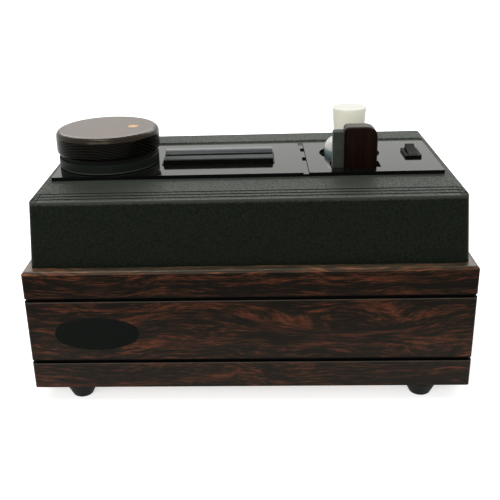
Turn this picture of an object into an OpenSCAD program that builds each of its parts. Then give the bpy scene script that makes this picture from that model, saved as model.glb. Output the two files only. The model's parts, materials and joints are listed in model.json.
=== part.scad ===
// Record cleaning machine: a wooden cabinet with a black cover and a glossy deck that carries a
// capstan with a lift-off label cap, a suction nozzle, a bottle, a brush and a rocker switch.
// Millimetres. +X is right, +Y is the back, +Z is up. The origin is the centre of the cabinet on
// the plane that the feet stand on.

/* [Cabinet] */
// Width of the wooden cabinet
cabinet_w = 372; // [366:1:380]
// Depth of the wooden cabinet
cabinet_d = 229; // [226:1:240]
// Height of the wooden cabinet without its feet
cabinet_h = 109; // [106:1:130]
// Thickness of the cabinet boards
board_t = 12; // [10:0.5:13]
// Height of the bands above and below the grooves
band_h = 24; // [20:0.5:25]
// Width of the grooves that run round the cabinet
groove_w = 3; // [1.5:0.5:4]
// Depth of the grooves
groove_depth = 2.5; // [1:0.5:4]
// Radius on the upper outer edge of the boards
edge_r = 3.5; // [1:0.5:4.5]
// Radius on the upright corners
corner_r = 2.5; // [2:0.5:6]
// Thickness of the bottom panel
bottom_t = 9; // [6:0.5:10]
// Section of the square corner posts
post_s = 22; // [20:1:24]

/* [Feet] */
// Height of the rubber feet
foot_h = 14.5; // [10:0.5:16]
// Diameter of the rubber feet at the top
foot_d = 30; // [24:0.5:30]
// Diameter of the rubber feet at the floor
foot_low_d = 18; // [16:0.5:24]
// Distance from the cabinet's sides to the middle of the feet
foot_inset_x = 38; // [31:0.5:46]
// Distance from the cabinet's front and back to the middle of the feet
foot_inset_y = 15.5; // [15.5:0.5:24]
// Diameter of the screws that hold the feet
foot_screw_d = 4; // [3:0.1:5]

/* [Cover] */
// Height of the black cover above the cabinet
cover_h = 57.3; // [54:0.1:64]
// Wall of the black cover
cover_t = 3; // [2.5:0.1:3.2]
// Width of the wooden ledge that shows round the cover
ledge = 6.8; // [6.5:0.1:8]
// How far each side of the cover leans in from bottom to top
draft = 3.6; // [2:0.1:3.8]
// How far the middle of the cover lies behind the middle of the cabinet
cover_y = 2; // [0:0.5:2]
// Radius on the cover's upright corners
cover_corner_r = 3.5; // [3.5:0.5:8]
// Radius on the cover's upper edge
cover_edge_r = 1.9; // [1:0.1:2]
// Depth of each step along the cover's front edge
step_drop = 0.35; // [0.3:0.05:0.6]
// Distance between the steps along the cover's front edge
step_pitch = 6.2; // [5:0.1:9]
// Width of the plain rim at the ends of the steps
step_rim = 2.4; // [1.5:0.1:4]
// Depth of the trough behind the deck
trough_drop = 1.5; // [0.5:0.1:1.6]
// How far the trough reaches behind the deck plates
trough_back = 25.5; // [16:0.5:26]

/* [Deck] */
// Thickness of the wooden deck board under the cover
deck_t = 9; // [8:0.5:11]
// Thickness of the glossy deck plates
plate_t = 3.3; // [2.6:0.1:3.6]
// Thickness of the gasket under the deck plates
gasket_t = 0.3; // [0.3:0.1:1]
// Width of both deck plates together
plate_w = 337; // [332:1:340]
// Depth of the deck plates
plate_d = 99; // [98:0.5:106]
// Place of the middle of the deck from left to right
plate_x = -0.5; // [-2:0.5:0]
// How far the middle of the deck lies behind the middle of the cabinet
plate_y = 1; // [0:0.5:4]
// Radius on the corners of the deck plates
plate_corner_r = 1; // [0.5:0.1:2]
// Place of the seam between the plates
seam_x = 54; // [53:0.5:55]
// Width of the lapped tongue at the seam
tongue_w = 5; // [4.5:0.1:5.5]
// How much lower the tongue lies
tongue_drop = 1.3; // [1:0.1:1.8]
// Length of the notch behind the tongue
notch = 5; // [3:0.5:8]
// Length of the two small slots in the tongue
lap_slot_l = 11.5; // [8:0.5:16]
// Width of the two small slots in the tongue
lap_slot_w = 3.6; // [3:0.1:4]
// Places of the two small slots from front to back
lap_slot_y = [-1.8, 29.3];

/* [Capstan] */
// Place of the capstan from left to right
capstan_x = -125; // [-126:0.5:-124]
// Place of the capstan from front to back
capstan_y = -1; // [-2:0.5:2]
// Outer diameter of the rubber drive ring
ring_d = 90.4; // [86:0.2:92]
// Wall of the rubber drive ring
ring_t = 1.5; // [1:0.1:3]
// Height of the capstan drum
drum_h = 7.7; // [7:0.1:12]
// Running gap between the drum and the deck plate
drum_gap = 0.6; // [0.4:0.1:1.2]
// Thickness of the rubber lip that the record lies on
ring_lip_t = 0.6; // [0.4:0.1:1]
// Width of the rubber lip that the record lies on
ring_lip_w = 6; // [4:0.5:10]
// Diameter of the spindle
spindle_d = 7.1; // [6.6:0.05:7.2]
// Length of the spindle above the drum
spindle_l = 14; // [11:0.5:15]
// Diameter of the capstan shaft
shaft_d = 8; // [8:0.5:9]
// Outer diameter of the tube that holds the capstan bushes
bearing_d = 18; // [17.5:0.5:20]
// Outer diameter of the bushes
bush_d = 12; // [12:0.5:13]
// Length of the bushes
bush_l = 12; // [8:0.5:16]
// Thickness of the collars on the bushes
bush_collar_t = 1.4; // [1:0.1:1.5]
// Diameter of the capstan pulley at the bottom of its groove
pulley_d = 58; // [50:0.5:60]
// Diameter of the motor pulley at the bottom of its groove
motor_pulley_d = 19; // [16:0.5:24]
// Height of the pulleys
pulley_h = 10; // [8:0.5:12]
// Thickness of the drive belt
belt_t = 1.6; // [1:0.1:2]
// Height of the drive belt
belt_h = 6; // [4:0.5:6.5]
// Distance between the capstan shaft and the motor shaft
belt_l = 62; // [60:0.5:64]
// Diameter of the gear motor
gear_motor_d = 48; // [44:0.5:50]
// Height of the gear motor
gear_motor_h = 35; // [30:0.5:36]
// Diameter of the gear motor's shaft
gear_shaft_d = 6; // [5:0.1:7]

/* [Label cap] */
// Diameter of the wooden label cap
cap_d = 93; // [88:0.5:94]
// Height of the wooden label cap
cap_h = 20; // [19:0.5:26]
// Radius on the cap's upper edge
cap_top_r = 5.2; // [2:0.1:6]
// Radius on the cap's lower edge
cap_low_r = 2.6; // [1:0.1:4]
// Thickness of the soft pad under the cap
pad_t = 3.6; // [2:0.1:5]
// Diameter of the soft pad under the cap
pad_d = 87; // [80:0.5:87.4]
// Diameter of the round inlay in the cap
inlay_d = 9.5; // [6:0.1:12]
// Distance of the inlay from the cap's middle
inlay_r = 23.5; // [15:0.5:30]
// Thickness of the inlay
inlay_t = 2; // [1:0.1:3]
// Outer diameter of the brass bush in the cap
cap_bush_d = 13; // [11:0.5:16]
// Depth of the brass bush in the cap
cap_bush_l = 14; // [14:0.5:16]

/* [Nozzle] */
// Width of the nozzle bar
nozzle_w = 98.5; // [94:0.5:100]
// Depth of the nozzle bar
nozzle_d = 35; // [33:0.5:37]
// Place of the nozzle from left to right
nozzle_x = -25.2; // [-26:0.1:-24.5]
// Place of the nozzle from front to back
nozzle_y = 1; // [0:0.5:2]
// Height of the nozzle bar above the deck plate
nozzle_h = 3.6; // [2.5:0.1:6]
// Width of the flange round the foot of the nozzle bar
nozzle_flange = 1.2; // [0.8:0.1:1.4]
// Thickness of the flange round the foot of the nozzle bar
nozzle_flange_t = 0.8; // [0.5:0.1:1]
// Width of the suction slot
slot_w = 3.5; // [2:0.1:5]
// Length of the suction slot
slot_l = 90; // [80:1:90]
// Depth of the front velvet lip
front_lip_d = 12.5; // [6:0.5:12.5]
// Thickness of the front velvet lip
front_lip_t = 1.2; // [0.6:0.1:2]
// Thickness of the rear velvet lip at its crown
rear_lip_t = 4.4; // [1:0.1:5]
// Wall of the nozzle's neck
neck_t = 2; // [1.5:0.1:3]
// How much narrower the neck is than the nozzle bar
neck_inset = 2.5; // [2:0.1:4]
// How far the neck reaches into the waste tank
neck_drop = 14; // [8:0.5:20]

/* [Suction] */
// Left wall of the waste tank
tank_x0 = -78; // [-80:0.5:-77]
// Width of the waste tank
tank_w = 104; // [103:1:108]
// Depth of the waste tank
tank_d = 92; // [86:1:94]
// Place of the waste tank from front to back
tank_y = 0; // [-1:0.5:1]
// Wall of the waste tank
tank_t = 2.5; // [2:0.1:3]
// Thickness of the tank's lid
lid_t = 3; // [2:0.1:4]
// Place of the suction motor from left to right
motor_x = -20; // [-24:0.5:-18]
// Place of the suction motor from front to back
motor_y = -29; // [-29.5:0.5:-28.5]
// Outer diameter of the standpipe in the tank
standpipe_d = 24; // [20:0.5:25]
// Free height over the standpipe
standpipe_gap = 9; // [6:0.5:12]
// Diameter of the fan housing
fan_d = 124; // [118:1:126]
// Height of the fan housing
fan_h = 34; // [32:0.5:36]
// Wall of the fan housing
fan_t = 2; // [1.5:0.1:3]
// Diameter of the impeller
impeller_d = 110; // [100:1:112]
// Height of the impeller's blades
blade_h = 16; // [12:0.5:20]
// Number of impeller blades
blade_count = 9; // [6:1:12]
// Outer diameter of the motor shell
motor_d = 88; // [80:1:90]
// Wall of the motor shell
motor_t = 2.5; // [2:0.1:4]
// Diameter of the motor's armature
armature_d = 46; // [40:1:50]
// Diameter of the motor's shaft
motor_shaft_d = 8; // [6:0.5:9]
// Outer diameter of the motor's ball bearings
motor_bearing_d = 22; // [20:0.5:24]
// Height of the motor's ball bearings
motor_bearing_h = 7; // [6:0.5:8]
// Height of the rubber mounts under the motor
mount_h = 8; // [6:0.5:10]
// Thickness of the motor cradle's plate
cradle_t = 3; // [2:0.1:4]
// Thickness of the inlet gasket
inlet_gasket_t = 3; // [2:0.1:5]

/* [Back] */
// Width of the recess for the rear panel
recess_w = 88; // [86:1:92]
// Height of the recess for the rear panel
recess_h = 38; // [34:0.5:40]
// Place of the recess from left to right
recess_x = -50; // [-52:0.5:-48]
// Height of the recess's middle above the cabinet's lower edge
recess_z = 54.5; // [54:0.5:55]
// Thickness of the rear panel
panel_t = 2; // [1.5:0.1:2.5]
// Distance of the drain from the recess's middle
drain_dx = -16; // [-18:0.5:-15]
// Distance of the power inlet from the recess's middle
inlet_dx = 22; // [20:0.5:24]
// Outer diameter of the drain spigot
spigot_d = 14; // [12:0.5:16]
// Length of the drain spigot behind the panel
spigot_l = 8; // [7:0.5:8]
// Bore of the drain spigot
drain_bore_d = 8; // [6:0.5:8]
// Outer diameter of the drain hose
hose_d = 12; // [12:0.5:13]
// Bore of the drain hose
hose_bore_d = 8; // [8:0.5:9]
// Radius of the bend in the drain hose
hose_bend_r = 15; // [13:0.5:18]
// Width of the exhaust grille
grille_w = 96; // [80:1:100]
// Height of the exhaust grille
grille_h = 38; // [30:0.5:40]
// Place of the exhaust grille from left to right
grille_x = 80; // [78:0.5:84]

/* [Switch] */
// Place of the switch from left to right
switch_x = 148.9; // [147:0.1:150]
// Place of the switch from front to back
switch_y = 4; // [0:0.5:6]
// Width of the switch's frame
bezel_w = 14.4; // [13.6:0.1:15]
// Length of the switch's frame
bezel_l = 27.6; // [27.6:0.1:29]
// Height of the switch's frame
bezel_h = 2.1; // [1.8:0.1:4]
// Width of the rocker
rocker_w = 8; // [7:0.1:9.4]
// Length of the rocker
rocker_l = 22; // [20:0.1:22.4]
// Height of the rocker's ends above its pivot
rocker_rise = 4.1; // [3.6:0.1:4.4]
// Angle that the rocker leans to each side
rocker_tilt = 12; // [8:1:12]
// Depth of the switch's body below the deck plate
switch_depth = 22; // [18:0.5:26]

/* [Bottle and brush] */
// Place of the bottle from left to right
bottle_x = 93.4; // [93:0.1:95]
// Place of the bottle from front to back
bottle_y = 12.8; // [12.6:0.1:13.4]
// Diameter of the bottle
bottle_d = 43.4; // [40:0.2:46]
// Height of the bottle's straight wall
bottle_wall_h = 88; // [84:0.5:90]
// Height of the bottle's domed shoulder
dome_h = 12.5; // [10:0.5:14]
// Wall of the bottle
bottle_t = 1.2; // [0.8:0.1:1.6]
// Outer diameter of the bottle's neck
bottle_neck_d = 21; // [18:0.5:23]
// Height of the bottle's neck
bottle_neck_h = 9; // [7:0.5:12]
// Diameter of the stopper at its top
stopper_top_d = 30.2; // [28:0.1:32]
// Diameter of the stopper at its foot
stopper_low_d = 26.6; // [25.4:0.1:27]
// Height of the stopper
stopper_h = 27; // [20:0.5:30]
// Diameter of the hole for the bottle
well_d = 54.4; // [52:0.2:54.6]
// Place of the hole for the bottle from left to right
well_x = 94.3; // [94:0.1:95]
// Wall of the holder for bottle and brush
holder_t = 1.5; // [1:0.1:1.6]
// Left side of the brush
brush_x0 = 75; // [74:0.1:76]
// Front face of the brush
brush_y0 = -34.5; // [-35:0.1:-34]
// Thickness of the brush's velvet pad
velvet_t = 9.8; // [8:0.1:11]
// Depth of the brush's velvet pad
velvet_d = 12; // [10:0.5:13]
// Width of the brush's wooden handle
handle_w = 28.2; // [26:0.1:29]
// Depth of the brush's wooden handle
handle_d = 16.4; // [15:0.1:16.6]
// Length of the brush's wooden handle
handle_l = 110; // [90:1:112]
// Radius on the handle's front-facing corner away from the pad
handle_big_r = 9.5; // [4:0.5:12]
// Radius on the handle's corner next to the pad
handle_small_r = 3.5; // [1:0.5:5]
// How far the handle stands above the deck plate
handle_rise = 34.8; // [28:0.2:38]
// How far the pad's upper end lies below the handle's
velvet_drop = 4.6; // [3:0.2:8]
// Clearance round the brush in its slot
brush_gap = 1.4; // [1:0.1:1.5]
// Extra play at the right of the brush in its slot
brush_play = 2; // [0:0.1:2.5]

/* [Badge] */
// Width of the oval badge
badge_w = 71; // [60:1:80]
// Height of the oval badge
badge_h = 30.6; // [24:0.2:34]
// Thickness of the oval badge
badge_t = 1.2; // [0.8:0.1:1.6]
// Place of the badge from left to right
badge_x = -127.5; // [-135:0.5:-110]
// Height of the badge's middle above the cabinet's lower edge
badge_z = 52; // [50:0.2:56]

/* [Hidden] */
$fn = 64;
cut = 1;
fit = 0.05;
slack = 0.3;
screw_head_h = 2.5;

cab_z = foot_h;
cab_top = cab_z + cabinet_h;
floor_z = cab_z + bottom_t;
inner_x = cabinet_w/2 - board_t;
inner_y = cabinet_d/2 - board_t;
foot_xs = [foot_inset_x - cabinet_w/2, cabinet_w/2 - foot_inset_x];
foot_ys = [foot_inset_y - cabinet_d/2, cabinet_d/2 - foot_inset_y];
foot_screw_head_d = 8;
foot_screw_head_h = 3;
foot_recess = 4.5;
foot_screw_l = 14;

post_inset = 4;
post_gap = 2;

cover_foot_w = cabinet_w - 2*ledge;
cover_foot_d = cabinet_d - 2*ledge;
cover_top_w = cover_foot_w - 2*draft;
cover_top_d = cover_foot_d - 2*draft;
cover_top = cab_top + cover_h;
cover_front_y = cover_y - cover_top_d/2;
trough_lead = 4;
trough_side = 3.4;

deck_top = cover_top - cover_t;
deck_bot = deck_top - deck_t;
deck_w = cover_top_w - 2*(cover_t + slack);
deck_d = cover_top_d - 2*(cover_t + slack);
post_top_x = inner_x - (post_s + post_inset)/2;
post_top_y = inner_y - (post_s + post_inset)/2;
deck_screw_d = 3.5;
deck_screw_head_d = 7;
deck_screw_l = 30;

plate_z = cover_top + gasket_t;
plate_top = plate_z + plate_t;
plate_x0 = plate_x - plate_w/2;
plate_x1 = plate_x + plate_w/2;
plate_y0 = plate_y - plate_d/2;
plate_y1 = plate_y + plate_d/2;
left_x1 = seam_x - tongue_w;
seam_gap = 0.3;
gasket_inset = 6;
gasket_w = 4;
boss_d = 8;
boss_lift = 1;
boss_inset_x = 12;
boss_inset_y = 16;
left_boss_xs = [plate_x0 + boss_inset_x, left_x1 - boss_inset_x];
right_boss_xs = [seam_x + 5, plate_x1 - boss_inset_x];
boss_ys = [plate_y0 + boss_inset_y, plate_y1 - boss_inset_y];
plate_screw_d = 3;
plate_screw_l = 10;
plate_screw_head_d = 9;
capstan_hole_d = bearing_d + 3;

drum_z = plate_top + drum_gap;
drum_top = drum_z + drum_h;
drum_r = ring_d/2 - ring_t;
drum_disc_t = 3;
drum_rim_t = 3;
drum_hub_r = 13;
ring_top = drum_top + ring_lip_t;
ring_chamfer = 0.5;
tube_top = drum_z - 0.2 - bush_collar_t;
bush_collar_d = bush_d + 3;
gear_plate_t = 3.5;
gear_plate_s = 50;
gear_hole_pitch = 40;
gear_z = deck_bot - gear_plate_t - gear_motor_h;
gear_y = capstan_y - belt_l;
pulley_top = gear_z - 3;
pulley_z = pulley_top - pulley_h;
pulley_flange_t = 1.5;
pulley_flange_w = 2;
tube_bot = pulley_top + 0.2 + bush_collar_t;
bearing_flange_d = 46;
bearing_flange_t = 4;
bearing_hole_r = 17;
clip_t = 1.2;
clip_w = 3;
shaft_tail = 4;
gear_shaft_in = 8;

mech_screw_d = 3;
mech_screw_head_d = 6.5;
mech_screw_bite = 7;

pad_z = ring_top;
cap_z = pad_z + pad_t;
cap_fit = 0.08;
cap_bush_roof = 1.2;
pad_hole_d = cap_bush_d + 3;

neck_w = nozzle_w - 2*neck_inset;
neck_d = nozzle_d - 2*neck_inset;
slot_lead = 12.5;
slot_y = nozzle_y - nozzle_d/2 + slot_lead + slot_w/2;
lip_margin = 0.5;
nozzle_top = plate_top + nozzle_h;
nozzle_roof = 2;
rear_lip_d = nozzle_d - slot_lead - slot_w - lip_margin;

motor_h = 52;
motor_z = floor_z + mount_h + cradle_t;
fan_z = motor_z + motor_h;
fan_top = fan_z + fan_h;
tank_z = fan_top + inlet_gasket_t;
lid_z = deck_bot - lid_t;
tank_flange_w = 7;
tank_screw_inset = 12;
tank_screw_out = 3.5;
inlet_d = standpipe_d - 2*2;
inlet_gasket_d = 44;
nipple_y = 37;
nipple_h = 12;
nipple_bore_d = 5;
impeller_lift = 6;
impeller_disc_t = 2;
blade_t = 1.6;
impeller_hub_d = 20;
impeller_eye_d = 40;
outlet_w = 36;
outlet_h = 18;
outlet_l = 14;
outlet_turn = 55;
armature_h = 26;
stator_t = 9;
stator_h = 24;
bearing_seat_t = 2.5;
bearing_seat_h = 9;
motor_bearing_z0 = motor_z + motor_t + 0.5;
motor_bearing_z1 = fan_z - motor_t - motor_bearing_h;
motor_shaft_z0 = motor_bearing_z0;
motor_shaft_z1 = fan_z + impeller_lift + impeller_disc_t + 8;
vent_count = 12;
vent_w = 6;
vent_h = 9;
cradle_s = 116;
cradle_collar_h = 12;
cradle_collar_t = 2.5;
cradle_hole_d = 40;
mount_d = 16;
mount_inset = 12;

back_z = cab_z + recess_z;
panel_lap = 8;
panel_y = inner_y - panel_t;
panel_screw_inset = 4;
drain_x = recess_x + drain_dx;
inlet_x = recess_x + inlet_dx;
barb_l = 14;
fitting_collar_d = 20;
fitting_collar_t = 2.5;
fitting_neck_d = 10;
plug_fit = 0.08;
plug_head_d = 12.5;
plug_head_t = 3;
plug_stem_l = 6.5;
socket_w = 24;
socket_h = 16;
socket_depth = 15;
inlet_wall = 1.6;
inlet_body_l = 20;
inlet_flange_w = 3;
inlet_flange_t = 2.5;
pin_l = 8;
pin_pitch = 7;
grille_t = 8;
grille_frame = 2.5;
slat_count = 6;
slat_t = 1.6;
slat_turn = 35;

rocker_gap = 0.3;
rocker_end_gap = 1;
switch_wall = 1.2;
rocker_pivot_z = plate_top + bezel_h - 1.5;
rocker_dip = 0.6;
rocker_low = 5;
rocker_pin_d = 2.4;
rocker_pin_l = 0.9;
switch_bay = 9.5;
opening_w = rocker_w + 2*rocker_gap;
opening_l = rocker_l + 2*rocker_end_gap;
switch_body_w = opening_w + 2*switch_wall;
switch_body_l = opening_l + 2*switch_wall;
switch_floor_z = plate_top - switch_depth;
tab_w = 6.3;
tab_t = 0.8;
tab_l = 7;
tab_pitch = 8;

bottle_rise = 3;
bottle_z = plate_top + bottle_rise - bottle_wall_h;
dome_z = bottle_z + bottle_wall_h;
neck_z = dome_z + dome_h;
fluid_h = bottle_wall_h - 12;
stopper_bore_gap = 0.3;
stopper_roof = 2;
brush_x1 = brush_x0 + velvet_t;
brush_x2 = brush_x1 + handle_w;
brush_y1 = brush_y0 + handle_d;
brush_top = plate_top + handle_rise;
brush_z = brush_top - handle_l;
velvet_foot = 3;
velvet_r = 3;
holder_floor = 2;
holder_flange_t = 2;
holder_lap = 3;
holder_x0 = well_x - well_d/2 - holder_t;
holder_x1 = well_x + well_d/2 + holder_t;
holder_y0 = brush_y0 - brush_gap - holder_t;
holder_y1 = bottle_y + well_d/2 + holder_t;

badge_end_r = 10;
badge_sink = 0.8;
wire_d = 4.5;
wire_z = floor_z + wire_d/2 + 2*slack;
gear_wire_x = 19;
wire_row_y = 66;
wire_high_z = 150;
wire_cross_z = 88;

// A flat rectangle with round corners, centred
module round_rect(w, d, r) {
  square([w - 2*r, d], center = true);
  square([w, d - 2*r], center = true);
  for (x = [-1, 1], y = [-1, 1])
    translate([x*(w/2 - r), y*(d/2 - r)])
      circle(r);
}

// A block between two corners
module block(a, b) {
  translate(a)
    cube([b[0] - a[0], b[1] - a[1], b[2] - a[2]]);
}

// A tube or ring that stands on z
module tube(outer_d, inner_d, z, h) {
  translate([0, 0, z])
    difference() {
      cylinder(d = outer_d, h = h);
      translate([0, 0, -cut])
        cylinder(d = inner_d, h = h + 2*cut);
    }
}

// A screw whose head hangs below z and whose shank rises by l
module rising_screw(d, l, head_d, head_h) {
  translate([0, 0, -head_h])
    cylinder(d = head_d, h = head_h);
  cylinder(d = d, h = l);
}

// The section of a cabinet board, from its inner face outwards
module board_section() {
  difference() {
    square([board_t, cabinet_h]);
    for (z = [band_h, cabinet_h - band_h - groove_w])
      translate([board_t - groove_depth, z])
        square([groove_depth + cut, groove_w]);
    translate([board_t - edge_r, cabinet_h - edge_r])
      difference() {
        square(edge_r + cut);
        circle(edge_r);
      }
  }
}

// A mitred board whose outer face lies at +out, for a cabinet side of the given length
module board(length, out) {
  intersection() {
    translate([0, out - board_t, cab_z])
      rotate([90, 0, 90])
        linear_extrude(length, center = true)
          board_section();
    translate([0, 0, cab_z - cut])
      linear_extrude(cabinet_h + 2*cut)
        polygon([
          [-length/2, out],
          [length/2, out],
          [length/2 - board_t, out - board_t],
          [-length/2 + board_t, out - board_t]
        ]);
  }
}

// Everything inside the cabinet's rounded plan
module cabinet_plan() {
  translate([0, 0, cab_z - cut])
    linear_extrude(cabinet_h + 2*cut)
      round_rect(cabinet_w, cabinet_d, corner_r);
}

// A four-centred oval of the badge's size
module badge_oval() {
  a = badge_w/2 - badge_end_r;
  b = badge_h/2;
  big_r = (a*a + b*b - badge_end_r*badge_end_r)/(2*(b - badge_end_r));
  tangent_x = a*big_r/(big_r - badge_end_r);
  for (x = [-a, a])
    translate([x, 0])
      circle(badge_end_r);
  intersection() {
    translate([0, b - big_r])
      circle(big_r, $fn = 256);
    translate([0, big_r - b])
      circle(big_r, $fn = 256);
    square([2*tangent_x, 2*badge_h], center = true);
  }
}

// The badge's body, standing out from its recess by the given thickness
module badge_body(t) {
  translate([badge_x, -cabinet_d/2 + badge_sink, cab_z + badge_z])
    rotate([90, 0, 0])
      linear_extrude(t)
        badge_oval();
}

module front_board() {
  color("#3a1c14")
    difference() {
      intersection() {
        rotate([0, 0, 180])
          board(cabinet_w, cabinet_d/2);
        cabinet_plan();
      }
      badge_body(badge_t + cut);
    }
}

module back_board() {
  color("#3a1c14")
    difference() {
      intersection() {
        board(cabinet_w, cabinet_d/2);
        cabinet_plan();
      }
      block(
        [recess_x - recess_w/2, inner_y - cut, back_z - recess_h/2],
        [recess_x + recess_w/2, cabinet_d/2 + cut, back_z + recess_h/2]
      );
      block(
        [grille_x - grille_w/2, inner_y - cut, back_z - grille_h/2],
        [grille_x + grille_w/2, cabinet_d/2 + cut, back_z + grille_h/2]
      );
      panel_screw_places()
        cylinder(d = mech_screw_d, h = mech_screw_bite);
    }
}

module left_board() {
  color("#3a1c14")
    intersection() {
      rotate([0, 0, 90])
        board(cabinet_d, cabinet_w/2);
      cabinet_plan();
    }
}

module right_board() {
  color("#3a1c14")
    intersection() {
      rotate([0, 0, -90])
        board(cabinet_d, cabinet_w/2);
      cabinet_plan();
    }
}

module bottom_panel() {
  color("#6a5238")
    difference() {
      block([-inner_x, -inner_y, cab_z], [inner_x, inner_y, floor_z]);
      for (x = foot_xs, y = foot_ys)
        translate([x, y, cab_z - cut])
          cylinder(d = foot_screw_d, h = foot_screw_l);
    }
}

module corner_posts() {
  color("#a5835a")
    difference() {
      for (x = [0, 1], y = [0, 1])
        mirror([x, 0, 0]) mirror([0, y, 0]) {
          block(
            [inner_x - post_s, inner_y - post_s, floor_z],
            [inner_x, inner_y, cab_top - post_gap]
          );
          block(
            [inner_x - post_s, inner_y - post_s, floor_z],
            [inner_x - post_inset, inner_y - post_inset, deck_bot]
          );
        }
      deck_screw_places()
        translate([0, 0, -deck_screw_l])
          cylinder(d = deck_screw_d, h = deck_screw_l);
    }
}

module rubber_feet() {
  color("#151515")
    for (x = foot_xs, y = foot_ys)
      translate([x, y, 0])
        rotate_extrude()
          polygon([
            [foot_screw_d/2 + slack, foot_recess],
            [foot_screw_d/2 + slack, foot_h],
            [foot_d/2 - 0.5, foot_h],
            [foot_d/2, foot_h - 1],
            [foot_low_d/2, 1],
            [foot_low_d/2 - 1, 0],
            [foot_screw_head_d/2 + 1, 0],
            [foot_screw_head_d/2 + 1, foot_recess]
          ]);
}

module foot_screws() {
  color("#8c8c8c")
    for (x = foot_xs, y = foot_ys)
      translate([x, y, foot_recess])
        rising_screw(foot_screw_d, foot_h - foot_recess + foot_screw_l - cut - 2,
          foot_screw_head_d, foot_screw_head_h);
}

module badge_plate() {
  color("#141210")
    badge_body(badge_t);
}

// Where the four deck screws enter, at the deck board's upper face
module deck_screw_places() {
  for (x = [-post_top_x, post_top_x], y = [-post_top_y, post_top_y])
    translate([x, y, deck_top])
      children();
}

// A countersunk screw head and shank below z = 0
module sunk_screw(d, l, head_d) {
  rotate_extrude()
    polygon([
      [0, 0],
      [head_d/2, 0],
      [d/2, -(head_d - d)/2],
      [d/2, -l],
      [0, -l]
    ]);
}

module deck_screws() {
  color("#b9a14a")
    deck_screw_places()
      sunk_screw(deck_screw_d, deck_screw_l, deck_screw_head_d);
}

// The nozzle's way through the deck
module nozzle_way(z0, z1) {
  block(
    [nozzle_x - neck_w/2 - slack, nozzle_y - neck_d/2 - slack, z0],
    [nozzle_x + neck_w/2 + slack, nozzle_y + neck_d/2 + slack, z1]
  );
}

// The switch body's way through the deck
module switch_way(z0, z1) {
  block(
    [switch_x - switch_body_w/2 - slack, switch_y - switch_body_l/2 - slack, z0],
    [switch_x + switch_body_w/2 + slack, switch_y + switch_body_l/2 + slack, z1]
  );
}

// The bottle's and the brush's ways through the deck
module accessory_ways(z0, z1) {
  translate([well_x, bottle_y, z0])
    cylinder(d = well_d, h = z1 - z0);
  block(
    [brush_x0 - brush_gap, brush_y0 - brush_gap, z0],
    [brush_x2 + brush_gap + brush_play, brush_y1 + brush_gap, z1]
  );
}

// The ways for the bosses of both deck plates
module boss_ways(z0, z1) {
  for (x = concat(left_boss_xs, right_boss_xs), y = boss_ys)
    translate([x, y, z0])
      cylinder(d = boss_d + 2*slack, h = z1 - z0);
}

// The bearing tube's way through the deck
module bearing_way(z0, z1, d) {
  translate([capstan_x, capstan_y, z0])
    cylinder(d = d, h = z1 - z0);
}

module deck_board() {
  color("#a5835a")
    difference() {
      translate([0, cover_y, deck_bot])
        linear_extrude(deck_t)
          round_rect(deck_w, deck_d, cover_corner_r);
      nozzle_way(deck_bot - cut, deck_top + cut);
      switch_way(deck_bot - cut, deck_top + cut);
      boss_ways(deck_bot - cut, deck_top + cut);
      bearing_way(deck_bot - cut, deck_top + cut, bearing_d + 2*slack);
      block([holder_x0 - slack, holder_y0 - slack, deck_bot - cut],
        [holder_x1 + slack, holder_y1 + slack, deck_top + cut]);
      block([holder_x0 - holder_lap, holder_y0 - holder_lap, deck_top - holder_flange_t],
        [holder_x1 + holder_lap, holder_y1 + holder_lap, deck_top + cut]);
      deck_screw_places()
        sunk_screw(deck_screw_d, deck_t + cut, deck_screw_head_d);
      mech_screw_places()
        cylinder(d = mech_screw_d, h = mech_screw_bite);
    }
}

// A disc with a rounded upper edge, for the corners of the cover
module cover_corner(r, edge) {
  rotate_extrude($fn = 32) {
    square([r, 1]);
    square([r - edge, 1 + edge]);
    intersection() {
      translate([r - edge, 1])
        circle(edge);
      square([r, 1 + edge]);
    }
  }
}

// A block that leans in on all sides, set in from the cover's outer faces
module leaning_block(inset, top_z, edge) {
  r = cover_corner_r - inset;
  hull()
    for (x = [-1, 1], y = [-1, 1]) {
      translate([x*(cover_foot_w/2 - cover_corner_r),
        cover_y + y*(cover_foot_d/2 - cover_corner_r), cab_top])
        cylinder(r = r, h = 0.1, $fn = 32);
      translate([x*(cover_top_w/2 - cover_corner_r),
        cover_y + y*(cover_top_d/2 - cover_corner_r), top_z - 1 - edge])
        cover_corner(r, edge);
    }
}

// The steps down along the cover's front edge
module front_steps() {
  for (i = [1:3]) {
    back_y = cover_front_y + i*step_pitch;
    drop = (4 - i)*step_drop;
    half_w = i == 1 ? cover_foot_w : cover_top_w/2 - step_rim;
    r = 4;
    translate([0, 0, cover_top - drop])
      linear_extrude(drop + cut)
        difference() {
          translate([-half_w, cover_front_y - 2*ledge])
            square([2*half_w, back_y - cover_front_y + 2*ledge]);
          if (i > 1)
            for (x = [0, 1])
              mirror([x, 0])
                translate([half_w - r, back_y - r])
                  difference() {
                    square(r + cut);
                    circle(r);
                  }
        }
  }
}

// The trough behind the deck plates
module rear_trough() {
  w = plate_w + 2*trough_side;
  d = trough_lead + trough_back;
  translate([0, plate_y1 - trough_lead + d/2, cover_top - trough_drop])
    linear_extrude(trough_drop + cut)
      round_rect(w, d, 3);
}

module top_cover() {
  color("#1c1e1d")
    difference() {
      leaning_block(0, cover_top, cover_edge_r);
      translate([0, 0, -0.01])
        leaning_block(cover_t, deck_top + 0.01, 0.01);
      front_steps();
      rear_trough();
      nozzle_way(deck_top - cut, cover_top + cut);
      switch_way(deck_top - cut, cover_top + cut);
      boss_ways(deck_top - cut, cover_top + cut);
      accessory_ways(deck_top - cut, cover_top + cut);
      bearing_way(deck_top - cut, cover_top + cut, capstan_hole_d);
    }
}

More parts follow.
